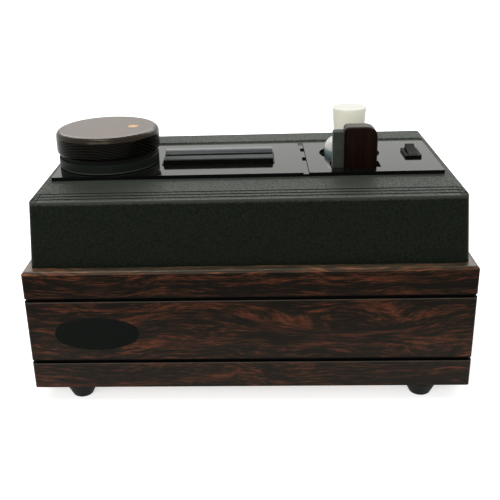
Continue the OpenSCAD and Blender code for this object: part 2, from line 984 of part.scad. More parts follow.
module plate_gaskets() {
  color("#101010")
    for (span = [[plate_x0 + gasket_inset, left_x1 - gasket_inset],
          [seam_x + gasket_inset, plate_x1 - gasket_inset]])
      for (y = [plate_y0 + gasket_inset, plate_y1 - gasket_inset - gasket_w])
        block([span[0], y, cover_top], [span[1], y + gasket_w, plate_z]);
}

// A deck plate's outline between two places from left to right
module plate_body(x0, x1) {
  translate([(x0 + x1)/2, plate_y, plate_z])
    linear_extrude(plate_t)
      round_rect(x1 - x0, plate_d, plate_corner_r);
}

// The bosses under a deck plate, with their screw bores
module plate_bosses(xs) {
  for (x = xs, y = boss_ys)
    translate([x, y, 0])
      tube(boss_d, plate_screw_d, deck_bot + boss_lift, plate_z - deck_bot - boss_lift);
}

module left_deck_plate() {
  color("#0c0d0d") {
    difference() {
      union() {
        plate_body(plate_x0, left_x1);
        block([left_x1 - cut, plate_y0, plate_z],
          [seam_x - seam_gap, plate_y1 - notch, plate_top - tongue_drop]);
      }
      nozzle_way(plate_z - cut, plate_top + cut);
      bearing_way(plate_z - cut, plate_top + cut, capstan_hole_d);
      for (y = lap_slot_y)
        block([seam_x - lap_slot_w, y - lap_slot_l/2, plate_z - cut],
          [seam_x, y + lap_slot_l/2, plate_top + cut]);
    }
    plate_bosses(left_boss_xs);
  }
}

module right_deck_plate() {
  color("#0c0d0d") {
    difference() {
      plate_body(seam_x, plate_x1);
      accessory_ways(plate_z - cut, plate_top + cut);
      switch_way(plate_z - cut, plate_top + cut);
    }
    plate_bosses(right_boss_xs);
  }
}

module plate_screws() {
  color("#8c8c8c")
    for (x = concat(left_boss_xs, right_boss_xs), y = boss_ys)
      translate([x, y, deck_bot])
        rising_screw(plate_screw_d, plate_screw_l, plate_screw_head_d, screw_head_h);
}

// Places of the screws that hold the bearing, the gear motor and the tank to the deck board
module mech_screw_places() {
  for (a = [30:120:270])
    translate([capstan_x, capstan_y, deck_bot])
      rotate([0, 0, a])
        translate([bearing_hole_r, 0, 0])
          children();
  for (x = [-1, 1], y = [-1, 1])
    translate([capstan_x + x*gear_hole_pitch/2, gear_y + y*gear_hole_pitch/2, deck_bot])
      children();
  for (x = [tank_x0 + tank_screw_inset, tank_x0 + tank_w - tank_screw_inset], y = [-1, 1])
    translate([x, tank_y + y*(tank_d/2 + tank_screw_out), deck_bot])
      children();
}

// Places of the screws that hold the rear panel, pointing into the back board
module panel_screw_places() {
  for (x = [-1, 1], z = [-1, 1])
    translate([
      recess_x + x*(recess_w/2 + panel_screw_inset),
      inner_y,
      back_z + z*(recess_h/2 + panel_screw_inset)
    ])
      rotate([-90, 0, 0])
        children();
}

module mechanism_screws() {
  color("#8c8c8c") {
    for (a = [30:120:270])
      translate([capstan_x, capstan_y, deck_bot - bearing_flange_t])
        rotate([0, 0, a])
          translate([bearing_hole_r, 0, 0])
            rising_screw(mech_screw_d, bearing_flange_t + mech_screw_bite,
              mech_screw_head_d, screw_head_h);
    for (x = [-1, 1], y = [-1, 1])
      translate([capstan_x + x*gear_hole_pitch/2, gear_y + y*gear_hole_pitch/2,
        deck_bot - gear_plate_t])
        rising_screw(mech_screw_d, gear_plate_t + mech_screw_bite,
          mech_screw_head_d, screw_head_h);
    for (x = [tank_x0 + tank_screw_inset, tank_x0 + tank_w - tank_screw_inset], y = [-1, 1])
      translate([x, tank_y + y*(tank_d/2 + tank_screw_out), lid_z - lid_t])
        rising_screw(mech_screw_d, 2*lid_t + mech_screw_bite,
          mech_screw_head_d, screw_head_h);
    panel_screw_places()
      translate([0, 0, -panel_t])
        rising_screw(mech_screw_d, panel_t + mech_screw_bite,
          mech_screw_head_d, screw_head_h);
  }
}

module bearing_housing() {
  color("#a9abad")
    translate([capstan_x, capstan_y, 0])
      difference() {
        union() {
          translate([0, 0, tube_bot])
            cylinder(d = bearing_d, h = tube_top - tube_bot);
          translate([0, 0, deck_bot - bearing_flange_t])
            cylinder(d = bearing_flange_d, h = bearing_flange_t);
        }
        translate([0, 0, tube_bot - cut])
          cylinder(d = bush_d, h = tube_top - tube_bot + 2*cut);
        for (a = [30:120:270])
          rotate([0, 0, a])
            translate([bearing_hole_r, 0, deck_bot - bearing_flange_t - cut])
              cylinder(d = mech_screw_d + 2*fit, h = bearing_flange_t + 2*cut);
      }
}

module bearing_bushes() {
  color("#b08d57")
    translate([capstan_x, capstan_y, 0]) {
      tube(bush_d, shaft_d + 2*fit, tube_top - bush_l, bush_l);
      tube(bush_collar_d, shaft_d + 2*fit, tube_top, bush_collar_t);
      tube(bush_d, shaft_d + 2*fit, tube_bot, bush_l);
      tube(bush_collar_d, shaft_d + 2*fit, tube_bot - bush_collar_t, bush_collar_t);
    }
}

module capstan_shaft() {
  color("#c9ccce")
    translate([capstan_x, capstan_y, 0]) {
      translate([0, 0, pulley_z - shaft_tail])
        cylinder(d = shaft_d, h = drum_top - pulley_z + shaft_tail);
      translate([0, 0, drum_top])
        rotate_extrude()
          polygon([
            [0, 0],
            [spindle_d/2, 0],
            [spindle_d/2, spindle_l - 1.5],
            [spindle_d/2 - 1.5, spindle_l],
            [0, spindle_l]
          ]);
    }
}

module shaft_clip() {
  color("#7d8082")
    translate([capstan_x, capstan_y, 0])
      tube(shaft_d + 2*clip_w, shaft_d, pulley_z - clip_t, clip_t);
}

module capstan_drum() {
  color("#2b2c2c")
    translate([capstan_x, capstan_y, 0])
      rotate_extrude()
        polygon([
          [shaft_d/2, drum_z],
          [drum_hub_r, drum_z],
          [drum_hub_r, drum_top - drum_disc_t],
          [drum_r - drum_rim_t, drum_top - drum_disc_t],
          [drum_r - drum_rim_t, drum_z],
          [drum_r, drum_z],
          [drum_r, drum_top],
          [shaft_d/2, drum_top]
        ]);
}

module drive_ring() {
  color("#191b1a")
    translate([capstan_x, capstan_y, 0])
      rotate_extrude()
        polygon([
          [drum_r, drum_z],
          [ring_d/2, drum_z],
          [ring_d/2, ring_top - ring_chamfer],
          [ring_d/2 - ring_chamfer, ring_top],
          [drum_r - ring_lip_w, ring_top],
          [drum_r - ring_lip_w, drum_top],
          [drum_r, drum_top]
        ]);
}

// A flanged pulley with a bore, whose groove has the given diameter
module pulley(groove_d, bore_d) {
  rim_d = groove_d + 2*pulley_flange_w;
  difference() {
    translate([0, 0, pulley_z])
      rotate_extrude()
        polygon([
          [0, 0],
          [rim_d/2, 0],
          [rim_d/2, pulley_flange_t],
          [groove_d/2, pulley_flange_t],
          [groove_d/2, pulley_h - pulley_flange_t],
          [rim_d/2, pulley_h - pulley_flange_t],
          [rim_d/2, pulley_h],
          [0, pulley_h]
        ]);
    translate([0, 0, pulley_z - cut])
      cylinder(d = bore_d, h = pulley_h + 2*cut);
  }
}

module capstan_pulley() {
  color("#3c3d3d")
    translate([capstan_x, capstan_y, 0])
      pulley(pulley_d, shaft_d);
}

// The outline round two circles, the second one belt_l in front of the first
module belt_outline(r1, r2) {
  hull() {
    circle(r1);
    translate([0, -belt_l])
      circle(r2);
  }
}

module drive_belt() {
  inner_r1 = pulley_d/2 + fit;
  inner_r2 = motor_pulley_d/2 + fit;
  color("#111111")
    translate([capstan_x, capstan_y, pulley_z + (pulley_h - belt_h)/2])
      linear_extrude(belt_h)
        difference() {
          belt_outline(inner_r1 + belt_t, inner_r2 + belt_t);
          belt_outline(inner_r1, inner_r2);
        }
}

module gear_motor() {
  color("#9a9ea0")
    translate([capstan_x, gear_y, 0])
      difference() {
        union() {
          translate([0, 0, gear_z])
            cylinder(d = gear_motor_d, h = gear_motor_h);
          translate([0, 0, gear_z + gear_motor_h])
            linear_extrude(gear_plate_t)
              round_rect(gear_plate_s, gear_plate_s, 4);
        }
        translate([0, 0, gear_z - cut])
          cylinder(d = gear_shaft_d + 2*fit, h = gear_shaft_in + cut);
        for (x = [-1, 1], y = [-1, 1])
          translate([x*gear_hole_pitch/2, y*gear_hole_pitch/2, deck_bot - gear_plate_t - cut])
            cylinder(d = mech_screw_d + 2*fit, h = gear_plate_t + 2*cut);
      }
}

module motor_pulley() {
  color("#3c3d3d")
    translate([capstan_x, gear_y, 0]) {
      pulley(motor_pulley_d, gear_shaft_d);
      translate([0, 0, pulley_z])
        cylinder(d = gear_shaft_d, h = gear_z + gear_shaft_in - 1 - pulley_z);
    }
}

module label_cap() {
  r = cap_d/2;
  color("#3b241c")
    difference() {
      translate([capstan_x, capstan_y, cap_z])
        rotate_extrude()
          difference() {
            square([r, cap_h]);
            translate([r - cap_top_r, cap_h - cap_top_r])
              difference() {
                square(cap_top_r + cut);
                circle(cap_top_r);
              }
            translate([r - cap_low_r, cap_low_r])
              difference() {
                translate([0, -cap_low_r - cut])
                  square(cap_low_r + cut);
                circle(cap_low_r);
              }
          }
      translate([capstan_x, capstan_y, cap_z - cut])
        cylinder(d = cap_bush_d, h = cap_bush_l + cut);
      translate([capstan_x + inlay_r, capstan_y, cap_z + cap_h - inlay_t])
        cylinder(d = inlay_d, h = inlay_t + cut);
    }
}

module cap_pad() {
  color("#151716")
    translate([capstan_x, capstan_y, 0])
      tube(pad_d, pad_hole_d, pad_z, pad_t);
}

module cap_inlay() {
  color("#e09a4a")
    translate([capstan_x + inlay_r, capstan_y, cap_z + cap_h - inlay_t])
      cylinder(d = inlay_d, h = inlay_t);
}

module cap_bush() {
  color("#b08d57")
    translate([capstan_x, capstan_y, cap_z])
      difference() {
        cylinder(d = cap_bush_d, h = cap_bush_l);
        translate([0, 0, -cut])
          cylinder(d = spindle_d + 2*cap_fit, h = cap_bush_l - cap_bush_roof + cut);
      }
}

module nozzle_bar() {
  color("#0e0f0f")
    difference() {
      union() {
        translate([nozzle_x, nozzle_y, plate_top])
          linear_extrude(nozzle_h)
            round_rect(nozzle_w, nozzle_d, 2);
        translate([nozzle_x, nozzle_y, plate_top])
          linear_extrude(nozzle_flange_t)
            round_rect(nozzle_w + 2*nozzle_flange, nozzle_d + 2*nozzle_flange, 2);
        block(
          [nozzle_x - neck_w/2, nozzle_y - neck_d/2, lid_z - neck_drop],
          [nozzle_x + neck_w/2, nozzle_y + neck_d/2, plate_top + cut]
        );
      }
      block(
        [nozzle_x - neck_w/2 + neck_t, nozzle_y - neck_d/2 + neck_t, lid_z - neck_drop - cut],
        [nozzle_x + neck_w/2 - neck_t, nozzle_y + neck_d/2 - neck_t, nozzle_top - nozzle_roof]
      );
      block(
        [nozzle_x - slot_l/2, slot_y - slot_w/2, nozzle_top - nozzle_roof - cut],
        [nozzle_x + slot_l/2, slot_y + slot_w/2, nozzle_top + cut]
      );
    }
}

// The rear lip's side view: flat underneath, with a crowned pile
module rear_lip_section() {
  crown_r = (rear_lip_d*rear_lip_d/4 + rear_lip_t*rear_lip_t)/(2*rear_lip_t);
  intersection() {
    translate([rear_lip_d/2, rear_lip_t - crown_r])
      circle(crown_r, $fn = 256);
    square([rear_lip_d, rear_lip_t + cut]);
  }
}

module rear_velvet_lip() {
  color("#4a4f50")
    intersection() {
      translate([nozzle_x, slot_y + slot_w/2, nozzle_top])
        rotate([90, 0, 90])
          linear_extrude(nozzle_w - 2*lip_margin, center = true)
            rear_lip_section();
      translate([nozzle_x, slot_y + slot_w/2 + rear_lip_d/2 - 4, nozzle_top - cut])
        linear_extrude(rear_lip_t + 2*cut)
          round_rect(nozzle_w - 2*lip_margin, rear_lip_d + 8, 4);
    }
}

module front_velvet_lip() {
  color("#5c605c")
    translate([nozzle_x, slot_y - slot_w/2 - front_lip_d/2 + lip_margin/2, nozzle_top])
      linear_extrude(front_lip_t)
        round_rect(nozzle_w - 2*lip_margin, front_lip_d - lip_margin, 0.6);
}

module waste_tank() {
  color("#d8d6cc") {
    difference() {
      union() {
        block([tank_x0, tank_y - tank_d/2, tank_z], [tank_x0 + tank_w, tank_y + tank_d/2, lid_z]);
        block([tank_x0, tank_y - tank_d/2 - tank_flange_w, lid_z - lid_t],
          [tank_x0 + tank_w, tank_y + tank_d/2 + tank_flange_w, lid_z]);
        translate([drain_x, nipple_y, tank_z - nipple_h])
          cylinder(d = hose_bore_d - 2*fit, h = nipple_h + cut);
      }
      block([tank_x0 + tank_t, tank_y - tank_d/2 + tank_t, tank_z + tank_t],
        [tank_x0 + tank_w - tank_t, tank_y + tank_d/2 - tank_t, lid_z + cut]);
      translate([motor_x, motor_y, tank_z - cut])
        cylinder(d = inlet_d, h = tank_t + 2*cut);
      translate([drain_x, nipple_y, tank_z - nipple_h - cut])
        cylinder(d = nipple_bore_d, h = nipple_h + tank_t + 2*cut);
      tank_screw_holes();
    }
    translate([motor_x, motor_y, 0])
      tube(standpipe_d, inlet_d, tank_z + tank_t, lid_z - tank_z - tank_t - standpipe_gap);
  }
}

// The screw holes through the tank's flanges and its lid
module tank_screw_holes() {
  for (x = [tank_x0 + tank_screw_inset, tank_x0 + tank_w - tank_screw_inset], y = [-1, 1])
    translate([x, tank_y + y*(tank_d/2 + tank_screw_out), lid_z - lid_t - cut])
      cylinder(d = mech_screw_d + 2*fit, h = 2*lid_t + 2*cut);
}

module tank_lid() {
  color("#c9c7bd")
    difference() {
      block([tank_x0, tank_y - tank_d/2 - tank_flange_w, lid_z],
        [tank_x0 + tank_w, tank_y + tank_d/2 + tank_flange_w, deck_bot]);
      nozzle_way(lid_z - cut, deck_bot + cut);
      tank_screw_holes();
    }
}

module inlet_gasket() {
  color("#222222")
    translate([motor_x, motor_y, 0])
      tube(inlet_gasket_d, inlet_d, fan_top, inlet_gasket_t);
}

// The fan's outlet, seen from the fan's middle along +X
module fan_outlet(grow, x0, x1) {
  block([x0, -outlet_w/2 - grow, fan_top - fan_t - outlet_h - grow],
    [x1, outlet_w/2 + grow, fan_top - fan_t + grow]);
}

module fan_housing() {
  reach = fan_d/2 + outlet_l;
  color("#55585a")
    translate([motor_x, motor_y, 0])
      difference() {
        union() {
          translate([0, 0, fan_z])
            cylinder(d = fan_d, h = fan_h, $fn = 128);
          rotate([0, 0, outlet_turn])
            fan_outlet(fan_t, fan_d/2 - outlet_l, reach);
        }
        translate([0, 0, fan_z + fan_t])
          cylinder(d = fan_d - 2*fan_t, h = fan_h - 2*fan_t, $fn = 128);
        translate([0, 0, fan_top - fan_t - cut])
          cylinder(d = inlet_d, h = fan_t + 2*cut);
        translate([0, 0, fan_z - cut])
          cylinder(d = impeller_hub_d, h = fan_t + 2*cut);
        rotate([0, 0, outlet_turn])
          fan_outlet(0, fan_d/2 - outlet_l, reach + cut);
      }
}

module impeller() {
  color("#c2c5c7")
    translate([motor_x, motor_y, fan_z + impeller_lift]) {
      difference() {
        union() {
          cylinder(d = impeller_d, h = impeller_disc_t, $fn = 128);
          cylinder(d = impeller_hub_d - 4, h = impeller_disc_t + 10);
          for (i = [0:blade_count - 1])
            rotate([0, 0, i*360/blade_count])
              translate([impeller_eye_d/2, 0, impeller_disc_t - 0.1])
                rotate([0, 0, -35])
                  cube([(impeller_d - impeller_eye_d)/2*0.86, blade_t, blade_h]);
        }
        translate([0, 0, -cut])
          cylinder(d = motor_shaft_d, h = motor_shaft_z1 - fan_z - impeller_lift + cut);
      }
      translate([0, 0, impeller_disc_t + blade_h - 0.1])
        difference() {
          cylinder(d = impeller_d, h = 1.2, $fn = 128);
          translate([0, 0, -cut])
            cylinder(d = impeller_eye_d, h = 1.2 + 2*cut);
        }
    }
}

module suction_motor_shell() {
  color("#8f9395")
    translate([motor_x, motor_y, 0]) {
      difference() {
        translate([0, 0, motor_z])
          cylinder(d = motor_d, h = motor_h);
        translate([0, 0, motor_z + motor_t])
          cylinder(d = motor_d - 2*motor_t, h = motor_h - 2*motor_t);
        translate([0, 0, fan_z - motor_t - cut])
          cylinder(d = motor_shaft_d + 4, h = motor_t + 2*cut);
        for (i = [0:vent_count - 1])
          rotate([0, 0, i*360/vent_count])
            block([motor_d/2 - 2*motor_t, -vent_w/2, fan_z - 6 - vent_h],
              [motor_d/2 + cut, vent_w/2, fan_z - 6]);
      }
      tube(motor_bearing_d + 2*bearing_seat_t, motor_bearing_d, motor_z + motor_t - 0.1,
        motor_bearing_z0 + motor_bearing_h - motor_z - motor_t + 0.1);
      tube(motor_bearing_d + 2*bearing_seat_t, motor_bearing_d, motor_bearing_z1,
        fan_z - motor_t - motor_bearing_z1 + 0.1);
    }
}

module motor_stator() {
  color("#6b6e70")
    translate([motor_x, motor_y, 0])
      tube(motor_d - 2*motor_t, motor_d - 2*motor_t - 2*stator_t,
        motor_z + (motor_h - stator_h)/2, stator_h);
}

module motor_armature() {
  color("#a0563a")
    translate([motor_x, motor_y, 0]) {
      translate([0, 0, motor_shaft_z0])
        cylinder(d = motor_shaft_d, h = motor_shaft_z1 - motor_shaft_z0);
      translate([0, 0, motor_z + (motor_h - armature_h)/2])
        cylinder(d = armature_d, h = armature_h);
    }
}

module motor_bearings() {
  color("#c9ccce")
    translate([motor_x, motor_y, 0])
      for (z = [motor_bearing_z0, motor_bearing_z1])
        tube(motor_bearing_d, motor_shaft_d + 2*fit, z, motor_bearing_h);
}

module motor_cradle() {
  color("#8f9395")
    translate([motor_x, motor_y, 0]) {
      difference() {
        translate([0, 0, motor_z - cradle_t])
          linear_extrude(cradle_t)
            round_rect(cradle_s, cradle_s, 8);
        translate([0, 0, motor_z - cradle_t - cut])
          cylinder(d = cradle_hole_d, h = cradle_t + 2*cut);
      }
      tube(motor_d + 2*(cradle_collar_t + slack), motor_d + 2*slack, motor_z - 0.1,
        cradle_collar_h);
    }
}

module rubber_mounts() {
  color("#151515")
    for (x = [-1, 1], y = [-1, 1])
      translate([
        motor_x + x*(cradle_s/2 - mount_inset),
        motor_y + y*(cradle_s/2 - mount_inset),
        floor_z
      ])
        cylinder(d = mount_d, h = mount_h);
}

// A cut through the hose of the given diameter, from the tank's nipple to the rear panel
module hose_path(d, extra) {
  bend_z = back_z + hose_bend_r;
  translate([drain_x, nipple_y, bend_z])
    cylinder(d = d, h = tank_z - bend_z - slack + extra);
  translate([drain_x, nipple_y + hose_bend_r, bend_z])
    rotate([0, 90, 0])
      rotate([0, 0, -90])
        rotate_extrude(angle = 90)
          translate([hose_bend_r, 0])
            circle(d = d);
  translate([drain_x, nipple_y + hose_bend_r, back_z])
    rotate([-90, 0, 0])
      cylinder(d = d, h = panel_y - fitting_collar_t - nipple_y - hose_bend_r + extra);
}

module drain_hose() {
  color("#9fa8a2")
    difference() {
      hose_path(hose_d, 0);
      hose_path(hose_bore_d, cut);
    }
}

// A round bar along +Y from y0 to y1 on the drain's axis
module drain_bar(d, y0, y1) {
  translate([drain_x, y0, back_z])
    rotate([-90, 0, 0])
      cylinder(d = d, h = y1 - y0);
}

module drain_fitting() {
  color("#1a1a1a")
    difference() {
      union() {
        drain_bar(hose_bore_d - 2*fit, panel_y - barb_l, panel_y);
        drain_bar(fitting_collar_d, panel_y - fitting_collar_t, panel_y);
        drain_bar(fitting_neck_d, panel_y, inner_y);
        drain_bar(spigot_d, inner_y, inner_y + spigot_l);
      }
      drain_bar(nipple_bore_d, panel_y - barb_l - cut, inner_y + spigot_l);
      drain_bar(drain_bore_d, inner_y + spigot_l - plug_stem_l - 1, inner_y + spigot_l + cut);
    }
}

module drain_plug() {
  spigot_end = inner_y + spigot_l;
  color("#7a1f1a") {
    drain_bar(drain_bore_d - 2*plug_fit, spigot_end - plug_stem_l, spigot_end);
    drain_bar(plug_head_d, spigot_end, spigot_end + plug_head_t);
  }
}

module rear_panel() {
  color("#2a2c2d")
    difference() {
      block(
        [recess_x - recess_w/2 - panel_lap, panel_y, back_z - recess_h/2 - panel_lap],
        [recess_x + recess_w/2 + panel_lap, inner_y, back_z + recess_h/2 + panel_lap]
      );
      drain_bar(fitting_neck_d, panel_y - cut, inner_y + cut);
      block(
        [inlet_x - socket_w/2 - inlet_wall, panel_y - cut, back_z - socket_h/2 - inlet_wall],
        [inlet_x + socket_w/2 + inlet_wall, inner_y + cut, back_z + socket_h/2 + inlet_wall]
      );
      panel_screw_places()
        translate([0, 0, -panel_t - cut])
          cylinder(d = mech_screw_d + 2*fit, h = panel_t + 2*cut);
    }
}

module power_inlet() {
  half_w = socket_w/2 + inlet_wall;
  half_h = socket_h/2 + inlet_wall;
  mouth_y = inner_y + inlet_flange_t;
  color("#141414")
    difference() {
      union() {
        block([inlet_x - half_w, inner_y - inlet_body_l, back_z - half_h],
          [inlet_x + half_w, inner_y, back_z + half_h]);
        block([inlet_x - half_w - inlet_flange_w, inner_y, back_z - half_h - inlet_flange_w],
          [inlet_x + half_w + inlet_flange_w, mouth_y, back_z + half_h + inlet_flange_w]);
      }
      block([inlet_x - socket_w/2, mouth_y - socket_depth, back_z - socket_h/2],
        [inlet_x + socket_w/2, mouth_y + cut, back_z + socket_h/2]);
    }
  color("#c9ccce")
    for (i = [-1:1]) {
      block([inlet_x + i*pin_pitch - 1, mouth_y - socket_depth - 0.1, back_z - 2],
        [inlet_x + i*pin_pitch + 1, mouth_y - socket_depth + pin_l, back_z + 2]);
      block([inlet_x + i*pin_pitch - tab_t/2, inner_y - inlet_body_l - tab_l, back_z - tab_w/2],
        [inlet_x + i*pin_pitch + tab_t/2, inner_y - inlet_body_l + 0.1, back_z + tab_w/2]);
    }
}

module exhaust_grille() {
  front_y = cabinet_d/2 - grille_t;
  inner_w = grille_w - 2*grille_frame;
  inner_h = grille_h - 2*grille_frame;
  pitch = inner_h/(slat_count + 1);
  color("#161717") {
    difference() {
      block([grille_x - grille_w/2, front_y, back_z - grille_h/2],
        [grille_x + grille_w/2, cabinet_d/2, back_z + grille_h/2]);
      block([grille_x - inner_w/2, front_y - cut, back_z - inner_h/2],
        [grille_x + inner_w/2, cabinet_d/2 + cut, back_z + inner_h/2]);
    }
    for (i = [1:slat_count])
      translate([grille_x - inner_w/2 - 0.1, cabinet_d/2 - grille_t/2,
        back_z - inner_h/2 + i*pitch])
        rotate([-slat_turn, 0, 0])
          translate([0, -grille_t/2 + 1, -slat_t/2])
            cube([inner_w + 0.2, grille_t - 2, slat_t]);
    block([grille_x - 1, front_y + 1, back_z - inner_h/2 - 0.1],
      [grille_x + 1, cabinet_d/2 - 1, back_z + inner_h/2 + 0.1]);
  }
}

// A round bar between two points
module bar(a, b, d) {
  v = b - a;
  l = norm(v);
  translate(a)
    rotate([0, acos(v[2]/l), atan2(v[1], v[0])])
      cylinder(d = d, h = l, $fn = 16);
}

// A bundle of wires along a list of points, a little thicker at its bends
module wire(points) {
  for (i = [1:len(points) - 1])
    bar(points[i - 1], points[i], wire_d);
  for (i = [1:len(points) - 2])
    translate(points[i])
      sphere(d = wire_d + 1, $fn = 16);
}

module wiring_loom() {
  tab_y = inner_y - inlet_body_l - tab_l;
  motor_side_y = motor_y + motor_d/2;
  gear_side = sqrt(pow(gear_motor_d/2, 2) - pow(gear_wire_x - wire_d/2, 2));
  color("#2c2c30") {
    wire([
      [inlet_x + pin_pitch, tab_y, back_z],
      [inlet_x + pin_pitch, wire_row_y, back_z],
      [inlet_x + pin_pitch, wire_row_y, wire_z],
      [switch_x, wire_row_y, wire_z],
      [switch_x, switch_y, wire_z],
      [switch_x, switch_y, switch_floor_z - tab_l]
    ]);
    wire([
      [inlet_x - pin_pitch, tab_y, back_z],
      [inlet_x - pin_pitch, wire_row_y, back_z],
      [motor_x, wire_row_y - 6, back_z - 8],
      [motor_x, motor_side_y, back_z - 8]
    ]);
    wire([
      [inlet_x - pin_pitch, wire_row_y, back_z],
      [inlet_x - pin_pitch, wire_row_y, wire_cross_z],
      [capstan_x + gear_wire_x, wire_row_y, wire_cross_z],
      [capstan_x + gear_wire_x, wire_row_y, wire_high_z],
      [capstan_x + gear_wire_x, gear_y + gear_side, wire_high_z]
    ]);
  }
}

module switch_body() {
  color("#121313")
    translate([switch_x, switch_y, 0])
      difference() {
        union() {
          translate([0, 0, plate_top])
            linear_extrude(bezel_h)
              round_rect(bezel_w, bezel_l, 1);
          block([-switch_body_w/2, -switch_body_l/2, switch_floor_z],
            [switch_body_w/2, switch_body_l/2, plate_top + cut]);
          for (i = [-1:1])
            block([-tab_w/2, i*tab_pitch - tab_t/2, switch_floor_z - tab_l],
              [tab_w/2, i*tab_pitch + tab_t/2, switch_floor_z + 0.1]);
        }
        block([-opening_w/2, -opening_l/2, rocker_pivot_z - switch_bay],
          [opening_w/2, opening_l/2, plate_top + bezel_h + cut]);
        translate([-opening_w/2 - rocker_pin_l, 0, rocker_pivot_z])
          rotate([0, 90, 0])
            cylinder(d = rocker_pin_d + 2*fit, h = opening_w + 2*rocker_pin_l);
      }
}

module switch_rocker() {
  half_l = rocker_l/2;
  color("#1d1e1e")
    translate([switch_x, switch_y, rocker_pivot_z])
      rotate([rocker_tilt, 0, 0]) {
        rotate([90, 0, 90])
          linear_extrude(rocker_w, center = true)
            polygon([
              [-half_l, rocker_rise],
              [0, rocker_rise - rocker_dip],
              [half_l, rocker_rise],
              [half_l, 0.5],
              [half_l - 4, -rocker_low],
              [-half_l + 4, -rocker_low],
              [-half_l, 0.5]
            ]);
        rotate([0, 90, 0])
          cylinder(d = rocker_pin_d, h = opening_w + 2*rocker_pin_l - 2*fit, center = true);
      }
}

// The bottle's outline from its middle outwards, grown inwards by the given wall
module bottle_section(wall) {
  r = bottle_d/2 - wall;
  neck_r = bottle_neck_d/2 - wall;
  square([r, bottle_wall_h - wall]);
  intersection() {
    translate([0, bottle_wall_h - wall])
      dome_outline(r, neck_r);
    square([r, bottle_wall_h + dome_h]);
  }
  square([neck_r, bottle_wall_h + dome_h + bottle_neck_h]);
}

// The domed shoulder: a circle's arc from the wall to the neck
module dome_outline(r, neck_r) {
  flat = r - neck_r;
  arc_r = (flat*flat + dome_h*dome_h)/(2*dome_h);
  translate([neck_r, dome_h - arc_r])
    intersection() {
      circle(arc_r, $fn = 128);
      translate([0, arc_r - dome_h])
        square([arc_r, dome_h]);
    }
  square([neck_r, dome_h]);
}

module bottle() {
  color("#e9e9e4")
    translate([bottle_x, bottle_y, bottle_z])
      difference() {
        rotate_extrude()
          bottle_section(0);
        translate([0, 0, bottle_t])
          rotate_extrude()
            bottle_section(bottle_t);
      }
}

module cleaning_fluid() {
  color("#8fb6c4")
    translate([bottle_x, bottle_y, bottle_z + bottle_t])
      cylinder(d = bottle_d - 2*bottle_t, h = fluid_h);
}

module bottle_stopper() {
  color("#ece7d6")
    translate([bottle_x, bottle_y, neck_z])
      difference() {
        cylinder(d1 = stopper_low_d, d2 = stopper_top_d, h = stopper_h);
        translate([0, 0, -cut])
          cylinder(d = bottle_neck_d + 2*stopper_bore_gap,
            h = stopper_h - stopper_roof + cut);
      }
}

module accessory_holder() {
  color("#1a1a1a")
    difference() {
      union() {
        translate([well_x, bottle_y, bottle_z - holder_floor])
          cylinder(d = well_d + 2*holder_t, h = deck_top - bottle_z + holder_floor);
        block([brush_x0 - brush_gap - holder_t, holder_y0, brush_z - holder_floor],
          [brush_x2 + brush_gap + brush_play + holder_t, brush_y1 + brush_gap + holder_t, deck_top]);
        block([holder_x0 - holder_lap + slack, holder_y0 - holder_lap + slack,
            deck_top - holder_flange_t],
          [holder_x1 + holder_lap - slack, holder_y1 + holder_lap - slack, deck_top]);
      }
      translate([well_x, bottle_y, bottle_z])
        cylinder(d = well_d, h = deck_top - bottle_z + cut);
      block([brush_x0 - brush_gap, brush_y0 - brush_gap, brush_z],
        [brush_x2 + brush_gap + brush_play, brush_y1 + brush_gap, deck_top + cut]);
    }
}

// The handle's front view, with its lower left corner at the origin
module handle_outline() {
  difference() {
    square([handle_w, handle_l]);
    translate([handle_w - handle_big_r, handle_l - handle_big_r])
      difference() {
        square(handle_big_r + cut);
        circle(handle_big_r);
      }
    translate([handle_small_r, handle_l - handle_small_r])
      difference() {
        translate([-handle_small_r - cut, 0])
          square(handle_small_r + cut);
        circle(handle_small_r);
      }
  }
}

module brush_handle() {
  color("#2a120d")
    translate([brush_x1, brush_y1, brush_z])
      rotate([90, 0, 0])
        linear_extrude(handle_d)
          handle_outline();
}

module brush_pad() {
  mid_y = (brush_y0 + brush_y1)/2;
  z0 = brush_z + velvet_foot;
  color("#3c413e")
    translate([0, 0, z0])
      linear_extrude(brush_top - velvet_drop - z0) {
        translate([brush_x0 + velvet_r, mid_y - velvet_d/2])
          square([velvet_t - velvet_r, velvet_d]);
        translate([brush_x0, mid_y - velvet_d/2 + velvet_r])
          square([velvet_r + cut, velvet_d - 2*velvet_r]);
        for (y = [mid_y - velvet_d/2 + velvet_r, mid_y + velvet_d/2 - velvet_r])
          translate([brush_x0 + velvet_r, y])
            circle(velvet_r);
      }
}

front_board();
back_board();
left_board();
right_board();
bottom_panel();
corner_posts();
rubber_feet();
foot_screws();
badge_plate();
deck_board();
deck_screws();
top_cover();
plate_gaskets();
left_deck_plate();
right_deck_plate();
plate_screws();
bearing_housing();
bearing_bushes();
capstan_shaft();
shaft_clip();
capstan_drum();
drive_ring();
capstan_pulley();
drive_belt();
gear_motor();
motor_pulley();
mechanism_screws();
label_cap();
cap_pad();
cap_inlay();
cap_bush();
nozzle_bar();
rear_velvet_lip();
front_velvet_lip();
waste_tank();
tank_lid();
inlet_gasket();
fan_housing();
impeller();
suction_motor_shell();
motor_stator();
motor_armature();
motor_bearings();
motor_cradle();
rubber_mounts();
drain_hose();
drain_fitting();
drain_plug();
rear_panel();
power_inlet();
exhaust_grille();
wiring_loom();
switch_body();
switch_rocker();
bottle();
cleaning_fluid();
bottle_stopper();
accessory_holder();
brush_handle();
brush_pad();
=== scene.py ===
"""The looks of a record cleaning machine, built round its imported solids.

Metres, with the CAD model's frame: +X right, +Y back, +Z up, feet on z = 0.
"""
import json
import math

import bpy
from mathutils import Matrix, Vector, noise

